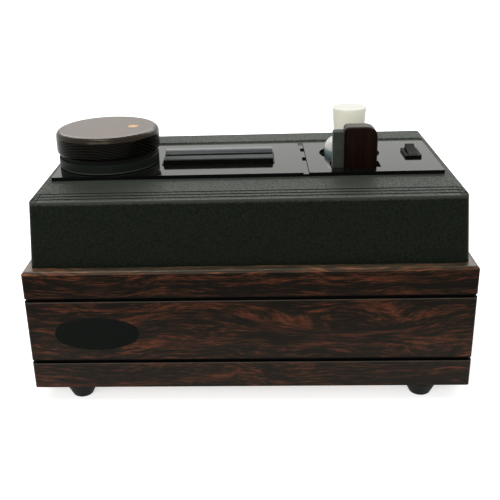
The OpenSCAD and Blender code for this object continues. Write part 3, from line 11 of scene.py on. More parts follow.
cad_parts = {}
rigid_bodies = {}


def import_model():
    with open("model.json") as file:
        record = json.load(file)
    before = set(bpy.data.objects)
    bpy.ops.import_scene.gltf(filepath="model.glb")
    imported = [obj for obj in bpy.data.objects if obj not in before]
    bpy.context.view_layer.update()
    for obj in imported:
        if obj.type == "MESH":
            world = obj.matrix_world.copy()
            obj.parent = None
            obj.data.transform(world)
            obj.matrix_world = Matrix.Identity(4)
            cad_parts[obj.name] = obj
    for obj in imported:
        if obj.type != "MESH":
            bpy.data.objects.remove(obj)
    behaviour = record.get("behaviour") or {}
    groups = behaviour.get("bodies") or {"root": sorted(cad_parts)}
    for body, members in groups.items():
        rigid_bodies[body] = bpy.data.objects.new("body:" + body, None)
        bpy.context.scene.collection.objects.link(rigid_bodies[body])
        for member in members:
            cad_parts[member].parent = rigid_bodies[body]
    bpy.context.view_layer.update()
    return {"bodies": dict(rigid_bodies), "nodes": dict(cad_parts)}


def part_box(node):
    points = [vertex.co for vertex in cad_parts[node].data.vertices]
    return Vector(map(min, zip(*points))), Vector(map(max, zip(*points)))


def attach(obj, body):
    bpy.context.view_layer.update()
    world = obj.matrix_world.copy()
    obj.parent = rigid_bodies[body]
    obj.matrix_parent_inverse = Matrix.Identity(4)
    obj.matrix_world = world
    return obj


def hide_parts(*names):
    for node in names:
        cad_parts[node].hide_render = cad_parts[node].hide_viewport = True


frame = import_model()
NODES = frame["nodes"]
MM = 0.001
QUARTER = math.pi / 2


# The camera

FRAME_PX = 500.0
SENSOR_MM = 36.0


def aim_camera(place, yaw, pitch, roll, focal_px, centre_px):
    """A camera given by its angles, its focal length and its principal point."""
    yaw, pitch, roll = (math.radians(a) for a in (yaw, pitch, roll))
    forward = Vector((math.sin(yaw) * math.cos(pitch), math.cos(yaw) * math.cos(pitch),
                      math.sin(pitch)))
    level = Vector((math.cos(yaw), -math.sin(yaw), 0.0))
    upright = level.cross(forward)
    right = level * math.cos(roll) - upright * math.sin(roll)
    up = level * math.sin(roll) + upright * math.cos(roll)
    camera = bpy.data.cameras.new("view")
    camera.sensor_width = SENSOR_MM
    camera.lens = focal_px / FRAME_PX * SENSOR_MM
    camera.shift_x = (FRAME_PX / 2 - centre_px[0]) / FRAME_PX
    camera.shift_y = (centre_px[1] - FRAME_PX / 2) / FRAME_PX
    camera.clip_start = 0.05
    camera.clip_end = 30.0
    holder = bpy.data.objects.new("view", camera)
    bpy.context.scene.collection.objects.link(holder)
    turn = Matrix((right, up, -forward)).transposed().to_4x4()
    holder.matrix_world = Matrix.Translation(place) @ turn
    bpy.context.scene.camera = holder


aim_camera(place=(0.00749, -0.69672, 0.37936), yaw=-3.219, pitch=-22.201, roll=2.070,
           focal_px=787.54, centre_px=(215.0, 250.0))


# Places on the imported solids

CAB_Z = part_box("front_board")[0].z
CAB_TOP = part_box("front_board")[1].z
TOP_EDGE = CAB_TOP - 6.0 * MM  # the boards' rounded rim is above it
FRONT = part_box("front_board")[0].y
OUTER = (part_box("right_board")[1].x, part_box("back_board")[1].y)
GROOVE_MM = 2.5  # the depth of the grooves
SLACK = 0.05 * MM
COVER_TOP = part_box("top_cover")[1].z
COVER_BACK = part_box("top_cover")[1].y - 8.0 * MM  # behind the trough
PLATE_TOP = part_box("right_deck_plate")[1].z
PLATE_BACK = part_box("left_deck_plate")[1].y
CAP_MIDDLE = sum(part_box("label_cap"), Vector()) / 2
CAP_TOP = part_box("label_cap")[1].z
LIP_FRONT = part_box("rear_velvet_lip")[0].y
BOTTLE_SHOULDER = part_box("bottle")[1].z - 21.5 * MM  # under its neck and its dome
BOTTLE_LEVEL = BOTTLE_SHOULDER + 2.0 * MM

# The line where the cover's top bends into its front wall, and its steps' half length
COVER_BEND = -0.1021
STEP_REACH = 0.1695

# The middle of the growth rings: along the front board and up it, and beside and below the cap
KNOT = (0.0773, 0.0802)
PITH = (CAP_MIDDLE.x - 14.0 * MM, CAP_MIDDLE.z - 70.0 * MM)


def at_grooves(level):
    """True for a level between the cabinet's rims, where its grooves are."""
    return CAB_Z + 5.0 * MM < level < CAB_TOP - 5.0 * MM


# The levels of the grooves' lower edges, and the places of the cover's steps
GROOVE_LEVELS = sorted({round(face.center.z, 5) for face in NODES["front_board"].data.polygons
               if face.normal.z > 0.9 and FRONT + 0.7 * MM < face.center.y < FRONT + 2.6 * MM
               and at_grooves(face.center.z)})
STEPS = sorted({round(face.center.y, 4) for face in NODES["top_cover"].data.polygons
                if face.normal.y < -0.95
                and -1.0 * MM < face.center.z - COVER_TOP < -SLACK
                and face.center.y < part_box("left_deck_plate")[0].y})


# Shader maths


class Value:
    """A node's output socket that takes part in Python arithmetic."""

    def __init__(self, tree, socket):
        self.tree = tree
        self.socket = socket

    def math(self, operation, *others):
        node = self.tree.nodes.new("ShaderNodeMath")
        node.operation = operation
        for slot, item in zip(node.inputs, (self,) + others):
            wire(self.tree, slot, item)
        return Value(self.tree, node.outputs[0])

    def __add__(self, other):
        return self.math("ADD", other)

    __radd__ = __add__

    def __mul__(self, other):
        return self.math("MULTIPLY", other)

    __rmul__ = __mul__

    def __sub__(self, other):
        return self.math("SUBTRACT", other)

    def __rsub__(self, other):
        return (self * -1.0) + other

    def step(self, low, high):
        """0 below low, 1 above high, and smooth between."""
        node = self.tree.nodes.new("ShaderNodeMapRange")
        node.interpolation_type = "SMOOTHSTEP"
        for slot, item in zip(node.inputs, (self, low, high, 0.0, 1.0)):
            wire(self.tree, slot, item)
        return Value(self.tree, node.outputs[0])


def wire(tree, slot, item):
    """Feeds a socket from another node or from a plain value."""
    if isinstance(item, Value):
        tree.links.new(item.socket, slot)
    elif isinstance(item, (tuple, list)) and slot.type == "RGBA" and len(item) == 3:
        slot.default_value = (*item, 1.0)
    else:
        slot.default_value = item


class Finish:
    """A material with one Principled shader, whose nodes are added by name."""

    def __init__(self, name, **sockets):
        self.material = bpy.data.materials.new(name)
        self.material.use_nodes = True
        self.tree = self.material.node_tree
        self.shader = self.tree.nodes["Principled BSDF"]
        self.set(**sockets)

    def set(self, **sockets):
        for name, item in sockets.items():
            wire(self.tree, self.shader.inputs[name.replace("_", " ")], item)
        return self

    def node(self, kind, settings=None, output=0, **sockets):
        """Adds a node, with its settings first and then its sockets by name."""
        node = self.tree.nodes.new("ShaderNode" + kind)
        for name, item in (settings or {}).items():
            setattr(node, name, item)
        for name, item in sockets.items():
            slot = next(s for s in node.inputs if s.name == name.replace("_", " ") and s.enabled)
            wire(self.tree, slot, item)
        return Value(self.tree, node.outputs[output])

    def place(self, scale=(1.0, 1.0, 1.0), turn=(0.0, 0.0, 0.0)):
        """Object coordinates, turned and scaled."""
        point = self.node("TexCoord", output=3)
        return self.node("Mapping", Vector=point, Scale=scale, Rotation=turn)

    def noise(self, point, scale, detail, rough):
        return self.node("TexNoise", Vector=point, Scale=scale, Detail=detail, Roughness=rough)

    def cells(self, point, scale):
        return self.node("TexVoronoi", {"feature": "SMOOTH_F1"}, Vector=point, Scale=scale)

    def axes(self, point):
        node = self.tree.nodes.new("ShaderNodeSeparateXYZ")
        wire(self.tree, node.inputs[0], point)
        return [Value(self.tree, out) for out in node.outputs]

    def joined(self, x, y, z):
        node = self.tree.nodes.new("ShaderNodeCombineXYZ")
        for slot, item in zip(node.inputs, (x, y, z)):
            wire(self.tree, slot, item)
        return Value(self.tree, node.outputs[0])

    def ramp(self, factor, *stops):
        """A colour ramp from (place, colour) stops."""
        node = self.tree.nodes.new("ShaderNodeValToRGB")
        while len(node.color_ramp.elements) < len(stops):
            node.color_ramp.elements.new(0.5)
        for element, (place, colour) in zip(node.color_ramp.elements, stops):
            element.position = place
            element.color = (*colour, 1.0)
        wire(self.tree, node.inputs[0], factor)
        return Value(self.tree, node.outputs[0])

    def mix(self, factor, one, two, blend="MIX"):
        node = self.tree.nodes.new("ShaderNodeMix")
        node.data_type = "RGBA"
        node.blend_type = blend
        for slot, item in zip((node.inputs[0], node.inputs[6], node.inputs[7]),
                              (factor, one, two)):
            wire(self.tree, slot, item)
        return Value(self.tree, node.outputs[2])

    def bump(self, height, distance, strength):
        node = self.tree.nodes.new("ShaderNodeBump")
        wire(self.tree, node.inputs["Height"], height)
        node.inputs["Distance"].default_value = distance
        node.inputs["Strength"].default_value = strength
        return Value(self.tree, node.outputs[0])


def shade(colour, factor, lift=0.0):
    """A colour made lighter or darker by a factor, with a little grey added."""
    return tuple(min(1.0, c * factor + lift) for c in colour)


# The finishes

ALONG_X = (0.0, 0.0, 0.0)
ALONG_Y = (0.0, 0.0, QUARTER)
UPRIGHT = (0.0, QUARTER, 0.0)
WOOD_DARK = (0.0009, 0.0004, 0.0002)
WOOD_MID = (0.0170, 0.0070, 0.0034)
WOOD_RED = (0.0880, 0.0240, 0.0110)
# Painted reflection of the bright floor, added to the lower boards' colour
WOOD_FLOOR_REFLECTION = (0.0136, 0.0118, 0.0100)
# Painted highlight and painted shadow colours for the lines along the grooves' edges
WOOD_GROOVE_HIGHLIGHT = (0.070, 0.062, 0.048)
WOOD_GROOVE_SHADOW = (0.0008, 0.0008, 0.0008)


def rosewood(name, turn, dark, mid, red, roughness=0.34, gloss=0.07, sway=1.0, floor_reflection=1.0,
             knot=None, groove_levels=()):
    """Lacquered dark wood: red streaks on a nearly black ground, along one axis.

    The grain runs in long rings round the knot, and a painted reflection of the floor is added
    to the colour, growing towards the feet. Each groove level passed in has a painted highlight
    line below it, where its lower edge would catch the light, and a painted shadow line above
    it.
    """
    f = Finish(name, Specular_IOR_Level=gloss, Specular_Tint=(1.0, 0.90, 0.74, 1.0))
    x, y, z = f.axes(f.place(turn=turn))
    drift = f.noise(f.joined(x * 6.0, y * 6.0, z * 16.0), 1.0, 2.0, 0.5)
    ripple = f.noise(f.joined(x * 30.0, y * 30.0, z * 60.0), 1.0, 2.0, 0.5)
    across = z + (drift - 0.5) * 0.040 * sway + (ripple - 0.5) * 0.0020 * sway
    depth = y + (drift - 0.5) * 0.030 * sway
    if knot:
        along, up = (x - knot[0]) * 0.2, z - knot[1]
        ring = (along * along + up * up).math("SQRT")
        near = 1.0 - ring.step(5.0 * MM, 21.0 * MM)
        across = across + (ring + (knot[1] + (ripple - 0.5) * 0.004) - across) * near
    figure = f.noise(f.joined(x * 15.0, depth * 120.0, across * 120.0), 1.0, 2.0, 0.6)
    streaks = f.noise(f.joined(x * 48.0, depth * 640.0, across * 640.0), 1.0, 3.0, 0.7)
    pores = f.noise(f.joined(x * 90.0, depth * 1300.0, across * 1300.0), 1.0, 2.0, 0.6)
    body = figure * 0.42 + streaks * 0.58
    colour = f.ramp(body, (0.46, dark), (0.52, mid), (0.62, red))
    pore = pores.step(0.40, 0.56)
    colour = f.mix((1.0 - pore) * 0.6, colour, dark)
    # Painted reflection: a paler colour added towards the feet, standing in for the floor
    # mirrored in the boards
    low = 1.0 - f.axes(f.place())[2].step(CAB_Z, CAB_TOP)
    colour = f.mix(low * floor_reflection, colour, WOOD_FLOOR_REFLECTION, "ADD")
    # Painted light at each groove: a pale painted highlight along its lower edge and a black
    # painted shadow along its upper edge
    for level in groove_levels:
        groove_highlight = 1.0 - (z - (level - 0.55 * MM)).math("ABSOLUTE").step(0.2 * MM, 0.8 * MM)
        colour = f.mix(groove_highlight * 0.5, colour, WOOD_GROOVE_HIGHLIGHT)
        groove_shadow = 1.0 - (z - (level + 3.3 * MM)).math("ABSOLUTE").step(0.3 * MM, 0.8 * MM)
        colour = f.mix(groove_shadow * 0.85, colour, WOOD_GROOVE_SHADOW)
    relief = f.bump(streaks * 0.4 + pore * 0.6, 0.10 * MM, 0.5)
    return f.set(Base_Color=colour, Roughness=pore * -0.12 + (roughness + 0.10),
                 Normal=relief).material


def cap_wood(name, colour, line, roughness, gloss, depth_mm=0.04, tint=(1.0, 1.0, 1.0, 1.0)):
    """Turned wood whose growth rings cross the cap as fine curved lines.

    The depth is that of the lines, which are also a little rougher where they are deep.
    """
    f = Finish(name, Specular_IOR_Level=gloss, Specular_Tint=tint)
    x, y, z = f.axes(f.place())
    drift = f.noise(f.joined(x * 30.0, y * 30.0, z * 30.0), 1.0, 2.0, 0.5)
    across = x - PITH[0]
    above = z - PITH[1]
    reach = (across * across + above * above).math("SQRT")
    rings = (reach * 2600.0 + y * 240.0 + drift * 9.0).math("SINE")
    fine = f.noise(f.joined(x * 900.0, y * 60.0, z * 1200.0), 1.0, 2.0, 0.6)
    cloud = f.noise(f.joined(x * 30.0, y * 14.0, z * 30.0), 1.0, 2.0, 0.5)
    mark = rings.step(-0.1, 0.9) * (fine.step(0.30, 0.60) * 0.7 + 0.3)
    tone = f.mix(mark, colour, line)
    tone = f.mix(cloud.step(0.35, 0.7) * 0.4, tone, shade(colour, 1.4))
    return f.set(Base_Color=tone, Roughness=mark * depth_mm + (roughness - 0.02),
                 Normal=f.bump(mark, depth_mm * MM, 0.6)).material


# Painted highlight colour for the cover's rounded front bend
COVER_EDGE_HIGHLIGHT = (0.058, 0.063, 0.053)


def grained_plastic(name, colour, grain_mm=1.4, depth_mm=0.26, roughness=0.46, gloss=0.06,
                    ledges=()):
    """Moulded plastic with a sandy, leather-like grain that shows along the surface.

    With ledges, it also falls by a little at each of them on the cover's top, and has a
    painted highlight, a paler strip of colour, where the top bends into the front wall.
    """
    f = Finish(name, Specular_IOR_Level=gloss, Sheen_Weight=0.16, Sheen_Roughness=0.45)
    f.set(Sheen_Tint=(0.90, 1.0, 0.84), Specular_Tint=(0.90, 1.0, 0.84, 1.0))
    point = f.place()
    wobble = f.noise(point, 1000.0 / grain_mm, 2.0, 0.65)
    cells = f.cells(point, 900.0 / grain_mm)
    relief = wobble * 0.6 + (1.0 - cells) * 0.4
    peaks = relief.step(0.42, 0.62)
    broad = f.noise(point, 18.0, 2.0, 0.5)
    tone = f.mix(broad.step(0.3, 0.7), colour, shade(colour, 1.2))
    tone = f.mix(peaks * 0.7, tone, shade(colour, 3.0, 0.002))
    if ledges:
        x, y, z = f.axes(point)
        # Painted highlight along the rounded bend from the top into the front wall
        edge = 1.0 - y.step(COVER_BEND + 0.9 * MM, COVER_BEND + 2.6 * MM)
        edge_highlight = (z + relief * 3.0 * MM).step(COVER_TOP - 3.2 * MM, COVER_TOP - 0.8 * MM) * edge
        tone = f.mix(edge_highlight * 0.85, tone, COVER_EDGE_HIGHLIGHT)
        inside = 1.0 - x.math("ABSOLUTE").step(STEP_REACH - 0.4 * MM, STEP_REACH + 0.4 * MM)
        inside = inside.math("MAXIMUM", edge)
        inside = inside * z.step(COVER_TOP - 4.2 * MM, COVER_TOP - 1.2 * MM)
    for ledge in ledges:
        relief = relief - (1.0 - y.step(ledge - 0.5 * MM, ledge + 0.5 * MM)) * inside * 3.0
    return f.set(
        Base_Color=tone,
        Roughness=peaks * -0.30 + (roughness + 0.22),
        Normal=f.bump(relief, depth_mm * MM, 1.0),
    ).material


def gloss_black(name, colour=(0.003, 0.0036, 0.003), roughness=0.08, gloss=0.68):
    """Polished sheet with faint wipe marks."""
    f = Finish(name, Specular_IOR_Level=gloss, Specular_Tint=(0.98, 1.0, 0.75, 1.0))
    point = f.place()
    wipe = f.noise(f.place(scale=(2.0, 9.0, 9.0)), 22.0, 3.0, 0.6)
    dust = f.noise(point, 260.0, 2.0, 0.6)
    return f.set(
        Base_Color=f.mix(dust.step(0.55, 0.80) * 0.25, colour, shade(colour, 2.2)),
        Roughness=wipe * 0.05 + (roughness - 0.03),
        Normal=f.bump(f.noise(point, 30.0, 1.0, 0.4), 0.02 * MM, 0.25),
    ).material


def satin_plastic(name, colour, roughness=0.42, grain_mm=0.35, depth_mm=0.02, gloss=0.3):
    """Plain moulded plastic or painted metal with a fine texture."""
    f = Finish(name, Specular_IOR_Level=gloss)
    point = f.place()
    fine = f.noise(point, 1000.0 / grain_mm, 2.0, 0.6)
    broad = f.noise(point, 35.0, 2.0, 0.5)
    return f.set(
        Base_Color=f.mix(broad.step(0.3, 0.7), colour, shade(colour, 1.18, 0.001)),
        Roughness=fine * 0.10 + (roughness - 0.05),
        Normal=f.bump(fine, depth_mm * MM, 0.7),
    ).material


def rubber(name, colour, roughness=0.62, gloss=0.12, grain_mm=0.7, depth_mm=0.10):
    """Rubber with a sandy surface and a light bloom."""
    f = Finish(name, Specular_IOR_Level=gloss)
    point = f.place()
    grain = f.noise(point, 1000.0 / grain_mm, 3.0, 0.65)
    bloom = f.noise(point, 60.0, 3.0, 0.6)
    tone = f.mix(bloom.step(0.35, 0.75) * 0.5, colour, shade(colour, 1.6))
    tone = f.mix(grain.step(0.5, 0.66) * 0.6, tone, shade(colour, 2.6))
    return f.set(
        Base_Color=tone,
        Roughness=grain * 0.15 + (roughness - 0.07),
        Normal=f.bump(grain, depth_mm * MM, 0.9),
    ).material


def ring_finish(name, colour, rim, low):
    """Grained rubber with a painted highlight, a paler line, round its lower edge."""
    f = Finish(name, Specular_IOR_Level=0.12)
    point = f.place()
    grain = f.noise(point, 850.0, 3.0, 0.65)
    z = f.axes(point)[2]
    tone = f.mix(grain.step(0.48, 0.62) * 0.8, colour, shade(colour, 3.6))
    # Painted highlight: a paler line along the ring's lower edge
    tone = f.mix(1.0 - z.step(low + 0.5 * MM, low + 1.5 * MM), tone, rim)
    return f.set(Base_Color=tone, Roughness=grain * 0.15 + 0.55,
                 Normal=f.bump(grain, 0.2 * MM, 0.9)).material


def velvet(name, colour, tip, sheen=0.5, scale=1.0, roughness=0.9, gloss=0.1):
    """Short pile, lighter where it is seen along its surface."""
    f = Finish(name, Sheen_Weight=sheen, Sheen_Roughness=0.4, Specular_IOR_Level=gloss)
    f.set(Sheen_Tint=(0.72, 0.76, 0.76))
    point = f.place()
    pile = f.noise(point, 1800.0 * scale, 2.0, 0.6)
    nap = f.noise(f.place(scale=(1.0, 2.6, 1.0)), 90.0 * scale, 3.0, 0.6)
    mixed = pile * 0.6 + nap * 0.4
    return f.set(
        Base_Color=f.ramp(mixed, (0.36, shade(colour, 0.7)), (0.5, colour), (0.66, tip)),
        Roughness=pile * 0.1 + (roughness - 0.05),
        Normal=f.bump(pile, 0.15 * MM, 0.8),
    ).material


def metal(name, colour, roughness=0.32, brushed=(1.0, 1.0, 14.0)):
    """Brushed or turned metal with dull patches."""
    f = Finish(name, Metallic=1.0)
    lines = f.noise(f.place(scale=brushed), 160.0, 3.0, 0.6)
    stain = f.noise(f.place(), 45.0, 3.0, 0.6)
    return f.set(
        Base_Color=f.mix(stain.step(0.3, 0.8) * 0.5, colour, shade(colour, 0.78)),
        Roughness=lines * 0.18 + (roughness - 0.09),
        Normal=f.bump(lines, 0.02 * MM, 0.5),
    ).material


def plywood(name):
    """Pale plywood with its layers on the cut edges."""
    f = Finish(name, Specular_IOR_Level=0.3)
    x, y, z = f.axes(f.place())
    grain = f.noise(f.joined(x * 12.0, y * 150.0, z * 150.0), 1.0, 4.0, 0.6)
    layer = (z * 2100.0).math("SINE").step(-0.3, 0.3)
    colour = f.ramp(grain, (0.3, (0.30, 0.19, 0.10)), (0.7, (0.50, 0.36, 0.22)))
    colour = f.mix(layer * 0.22, colour, (0.22, 0.13, 0.07))
    return f.set(Base_Color=colour, Roughness=grain * 0.15 + 0.6,
                 Normal=f.bump(grain, 0.08 * MM, 0.7)).material


def milky_plastic(name, colour, deep, roughness=0.35, glow=0.25, gloss=0.3):
    """Translucent polythene, a little darker in patches."""
    f = Finish(name, Subsurface_Weight=glow, Subsurface_Scale=0.003, Specular_IOR_Level=gloss)
    f.set(Subsurface_Radius=(1.0, 1.0, 1.0))
    point = f.place()
    cloud = f.noise(point, 55.0, 3.0, 0.55)
    fine = f.noise(point, 1300.0, 2.0, 0.6)
    return f.set(
        Base_Color=f.mix(cloud.step(0.3, 0.75), colour, deep),
        Roughness=fine * 0.08 + (roughness - 0.04),
        Normal=f.bump(fine, 0.02 * MM, 0.6),
    ).material


def filled_bottle(name, white, fluid, level):
    """Milky plastic above the fluid's level, and the fluid's colour below it, darkened by
    painted shade towards the bottom, down into the deck's hole.
    """
    f = Finish(name, Specular_IOR_Level=0.35)
    point = f.place()
    z = f.axes(point)[2]
    cloud = f.noise(point, 70.0, 2.0, 0.5)
    wet = 1.0 - (z + (cloud - 0.5) * 0.0006).step(level - 0.4 * MM, level + 0.4 * MM)
    # Painted shade: the fluid colour darkens to half over the 7 mm below its level, down into
    # the deck's hole
    deep = (level - z).step(0.0, 7.0 * MM)
    colour = f.mix(deep, fluid, shade(fluid, 0.5))
    return f.set(Base_Color=f.mix(wet, f.mix(cloud, white, shade(white, 0.92)), colour),
                 Roughness=cloud * 0.08 + 0.22,
                 Normal=f.bump(cloud, 0.05 * MM, 0.3)).material


# Painted light on the boards: paler, glossier copies of the rosewood for their level tops and
# for the rounding below, standing in for light from above
LIT_TOP_TONES = {"dark": (0.034, 0.029, 0.020), "mid": (0.098, 0.058, 0.034),
              "red": (0.250, 0.105, 0.055), "roughness": 0.30, "gloss": 0.30}
LIT_ROUNDING_TONES = {"dark": (0.0150, 0.0080, 0.0042), "mid": (0.072, 0.026, 0.0105),
              "red": (0.250, 0.070, 0.025), "roughness": 0.30, "gloss": 0.17}
HANDLE_WAY = {"turn": UPRIGHT, "sway": 0.3, "floor_reflection": 0.0}

wood_long = rosewood("rosewood_long", ALONG_X, WOOD_DARK, WOOD_MID, WOOD_RED, knot=KNOT,
                     groove_levels=GROOVE_LEVELS)
wood_side = rosewood("rosewood_side", ALONG_Y, WOOD_DARK, WOOD_MID, WOOD_RED, groove_levels=GROOVE_LEVELS)
wood_long_lit_top = rosewood("rosewood_long_lit_top", ALONG_X, **LIT_TOP_TONES)
wood_side_lit_top = rosewood("rosewood_side_lit_top", ALONG_Y, **LIT_TOP_TONES)
wood_long_lit_rounding = rosewood("rosewood_long_lit_rounding", ALONG_X, **LIT_ROUNDING_TONES)
wood_side_lit_rounding = rosewood("rosewood_side_lit_rounding", ALONG_Y, **LIT_ROUNDING_TONES)
groove_black = satin_plastic("groove_black", (0.0008, 0.0008, 0.0008), 0.6, gloss=0.03)
# Painted light on the cap: its level top and its rounding get paler copies of the side's wood,
# standing in for light from above and behind
cap_lit_top_wood = cap_wood("cap_lit_top_wood", (0.070, 0.042, 0.022), (0.066, 0.039, 0.020),
                        roughness=0.26, gloss=0.28, depth_mm=0.002, tint=(1.0, 0.94, 0.86, 1.0))
cap_lit_rim_wood = cap_wood("cap_lit_rim_wood", (0.0060, 0.0046, 0.0026), (0.0150, 0.0105, 0.0060),
                        roughness=0.22, gloss=0.20, tint=(1.0, 0.86, 0.66, 1.0))
cap_side_wood = cap_wood("cap_side_wood", (0.0006, 0.0007, 0.0003), (0.0120, 0.0100, 0.0070),
                         roughness=0.20, gloss=0.03)
handle_wood = rosewood("handle_wood", dark=(0.0040, 0.0012, 0.0006),
                       mid=(0.0070, 0.0020, 0.0010), red=(0.0110, 0.0034, 0.0020),
                       roughness=0.32, gloss=0.04, **HANDLE_WAY)
# Painted light: a paler copy of the handle's wood for its upward faces
handle_lit_top = rosewood("handle_lit_top", dark=(0.020, 0.015, 0.012), mid=(0.030, 0.020, 0.015),
                      red=(0.045, 0.030, 0.022), roughness=0.35, gloss=0.12, **HANDLE_WAY)
cover_skin = grained_plastic("cover_skin", (0.0010, 0.0018, 0.0006), ledges=STEPS)
# Painted light: a paler copy of the cover plastic for the trough's back wall, which faces the
# front
cover_lit_wall = grained_plastic("cover_lit_wall", (0.045, 0.048, 0.040))
deck_gloss = gloss_black("deck_gloss")
deck_edge = satin_plastic("deck_edge", (0.001, 0.0012, 0.001), 0.4, gloss=0.05)
nozzle_gloss = gloss_black("nozzle_gloss", (0.0004, 0.0007, 0.0005), 0.14, gloss=0.03)
black_satin = satin_plastic("black_satin", (0.008, 0.009, 0.008))
switch_black = satin_plastic("switch_black", (0.0018, 0.0032, 0.0018), 0.40, gloss=0.02)
ring_rubber = ring_finish("ring_rubber", (0.0022, 0.0038, 0.0022), rim=(0.040, 0.048, 0.040),
                          low=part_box("drive_ring")[0].z)
foot_rubber = rubber("foot_rubber", (0.0020, 0.0020, 0.0020))
pad_felt = rubber("pad_felt", (0.0020, 0.0020, 0.0020), 0.8)
lip_velvet = velvet("lip_velvet", (0.004, 0.006, 0.007), tip=(0.011, 0.015, 0.016),
                    sheen=0.26, scale=0.6, roughness=0.36, gloss=0.40)
lip_front = velvet("lip_front", (0.033, 0.037, 0.032), tip=(0.052, 0.058, 0.051), sheen=0.3)
pad_velvet = velvet("pad_velvet", (0.030, 0.035, 0.028), tip=(0.050, 0.057, 0.047), sheen=0.22)
badge_gloss = gloss_black("badge_gloss", (0.0010, 0.0022, 0.0026), 0.16, gloss=0.06)
inlay_amber = satin_plastic("inlay_amber", (0.50, 0.26, 0.07), 0.34, gloss=0.18)
bottle_shell = filled_bottle("bottle_shell", white=(0.52, 0.52, 0.49),
                             fluid=(0.165, 0.245, 0.240), level=BOTTLE_LEVEL)
stopper_cream = milky_plastic("stopper_cream", (0.90, 0.89, 0.745), deep=(0.87, 0.855, 0.71),
                              roughness=0.42, glow=0.1)
# Painted shade: a darker copy of the stopper's cream plastic for its level top, against the
# strong light from above
stopper_shaded_top = milky_plastic("stopper_shaded_top", (0.66, 0.655, 0.59), deep=(0.64, 0.635, 0.57),
                            roughness=0.5, glow=0.1, gloss=0.1)
tank_plastic = milky_plastic("tank_plastic", (0.62, 0.60, 0.54), deep=(0.50, 0.48, 0.42),
                             roughness=0.5, glow=0.0)
plug_red = rubber("plug_red", (0.22, 0.03, 0.02), 0.5)
fluid_blue = satin_plastic("fluid_blue", (0.30, 0.50, 0.58), 0.1)
steel = metal("steel", (0.55, 0.56, 0.57))
alloy = metal("alloy", (0.66, 0.67, 0.68), 0.38)
drum_alloy = metal("drum_alloy", (0.30, 0.31, 0.32), 0.5)
brass = metal("brass", (0.62, 0.45, 0.18), 0.3)
windings = metal("windings", (0.45, 0.20, 0.12), 0.5, brushed=(1.0, 1.0, 60.0))
birch = plywood("birch")

FINISHES = {
    wood_long: "front_board back_board",
    wood_side: "left_board right_board",
    birch: "bottom_panel corner_posts deck_board",
    foot_rubber: "rubber_feet rubber_mounts drive_belt inlet_gasket plate_gaskets",
    steel: "foot_screws plate_screws capstan_shaft shaft_clip mechanism_screws gear_motor "
           "suction_motor_shell motor_bearings motor_cradle",
    alloy: "bearing_housing impeller",
    drum_alloy: "capstan_drum",
    brass: "deck_screws bearing_bushes cap_bush",
    windings: "motor_stator motor_armature",
    badge_gloss: "badge_plate",
    cover_skin: "top_cover",
    deck_gloss: "left_deck_plate right_deck_plate",
    nozzle_gloss: "nozzle_bar",
    ring_rubber: "drive_ring",
    pad_felt: "cap_pad",
    cap_side_wood: "label_cap",
    inlay_amber: "cap_inlay",
    lip_velvet: "rear_velvet_lip",
    lip_front: "front_velvet_lip",
    pad_velvet: "brush_pad",
    handle_wood: "brush_handle",
    tank_plastic: "waste_tank tank_lid drain_hose",
    black_satin: "capstan_pulley motor_pulley fan_housing drain_fitting rear_panel power_inlet "
                 "exhaust_grille wiring_loom accessory_holder",
    plug_red: "drain_plug",
    switch_black: "switch_body switch_rocker",
    bottle_shell: "bottle",
    stopper_cream: "bottle_stopper",
    fluid_blue: "cleaning_fluid",
}
FINISH_OF = {node: material for material, names in FINISHES.items() for node in names.split()}


def paint(piece, material):
    piece.data.materials.clear()
    piece.data.materials.append(material)


for node_name, material in FINISH_OF.items():
    node = NODES[node_name]
    if node.material_slots:
        for material_slot in node.material_slots:
            material_slot.material = material
    else:
        node.data.materials.append(material)


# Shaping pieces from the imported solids

BODY_OF = {empty: body for body, empty in frame["bodies"].items()}
SHARP_DEG = 40.0


def only(piece):
    """Makes a piece the one that operators act on."""
    bpy.ops.object.select_all(action="DESELECT")
    piece.select_set(True)
    bpy.context.view_layer.objects.active = piece


def settle(piece, kind, **settings):
    """Adds a modifier with its settings, and applies it."""
    only(piece)
    modifier = piece.modifiers.new(kind.lower(), kind)
    for name, item in settings.items():
        setattr(modifier, name, item)
    bpy.ops.object.modifier_apply(modifier=modifier.name)


def merged_copy(node_name, name):
    """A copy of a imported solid, with its loose triangles joined into whole faces."""
    piece = bpy.data.objects.new(name, NODES[node_name].data.copy())
    bpy.context.scene.collection.objects.link(piece)
    only(piece)
    bpy.ops.mesh.customdata_custom_splitnormals_clear()
    bpy.ops.object.mode_set(mode="EDIT")
    bpy.ops.mesh.select_all(action="SELECT")
    bpy.ops.mesh.remove_doubles(threshold=0.002 * MM)
    bpy.ops.mesh.dissolve_limited(angle_limit=math.radians(0.3))
    bpy.ops.object.mode_set(mode="OBJECT")
    return piece


def creases(mesh):
    """Each edge where two faces meet at a sharp angle, with those faces."""
    sides = {}
    for face in mesh.polygons:
        for key in face.edge_keys:
            sides.setdefault(key, []).append(face)
    for edge in mesh.edges:
        faces = sides.get(edge.key, ())
        if (len(faces) == 2
                and faces[0].normal.angle(faces[1].normal, 0.0) > math.radians(SHARP_DEG)):
            yield edge, faces


def is_mitre(face):
    """True for the slanted end of a cabinet board."""
    n = face.normal
    return abs(abs(n.x) - abs(n.y)) < 0.02 and abs(n.z) < 0.01 and face.area > 300.0 * MM * MM


def anywhere(middle, faces):
    """Wants every crease."""
    return True


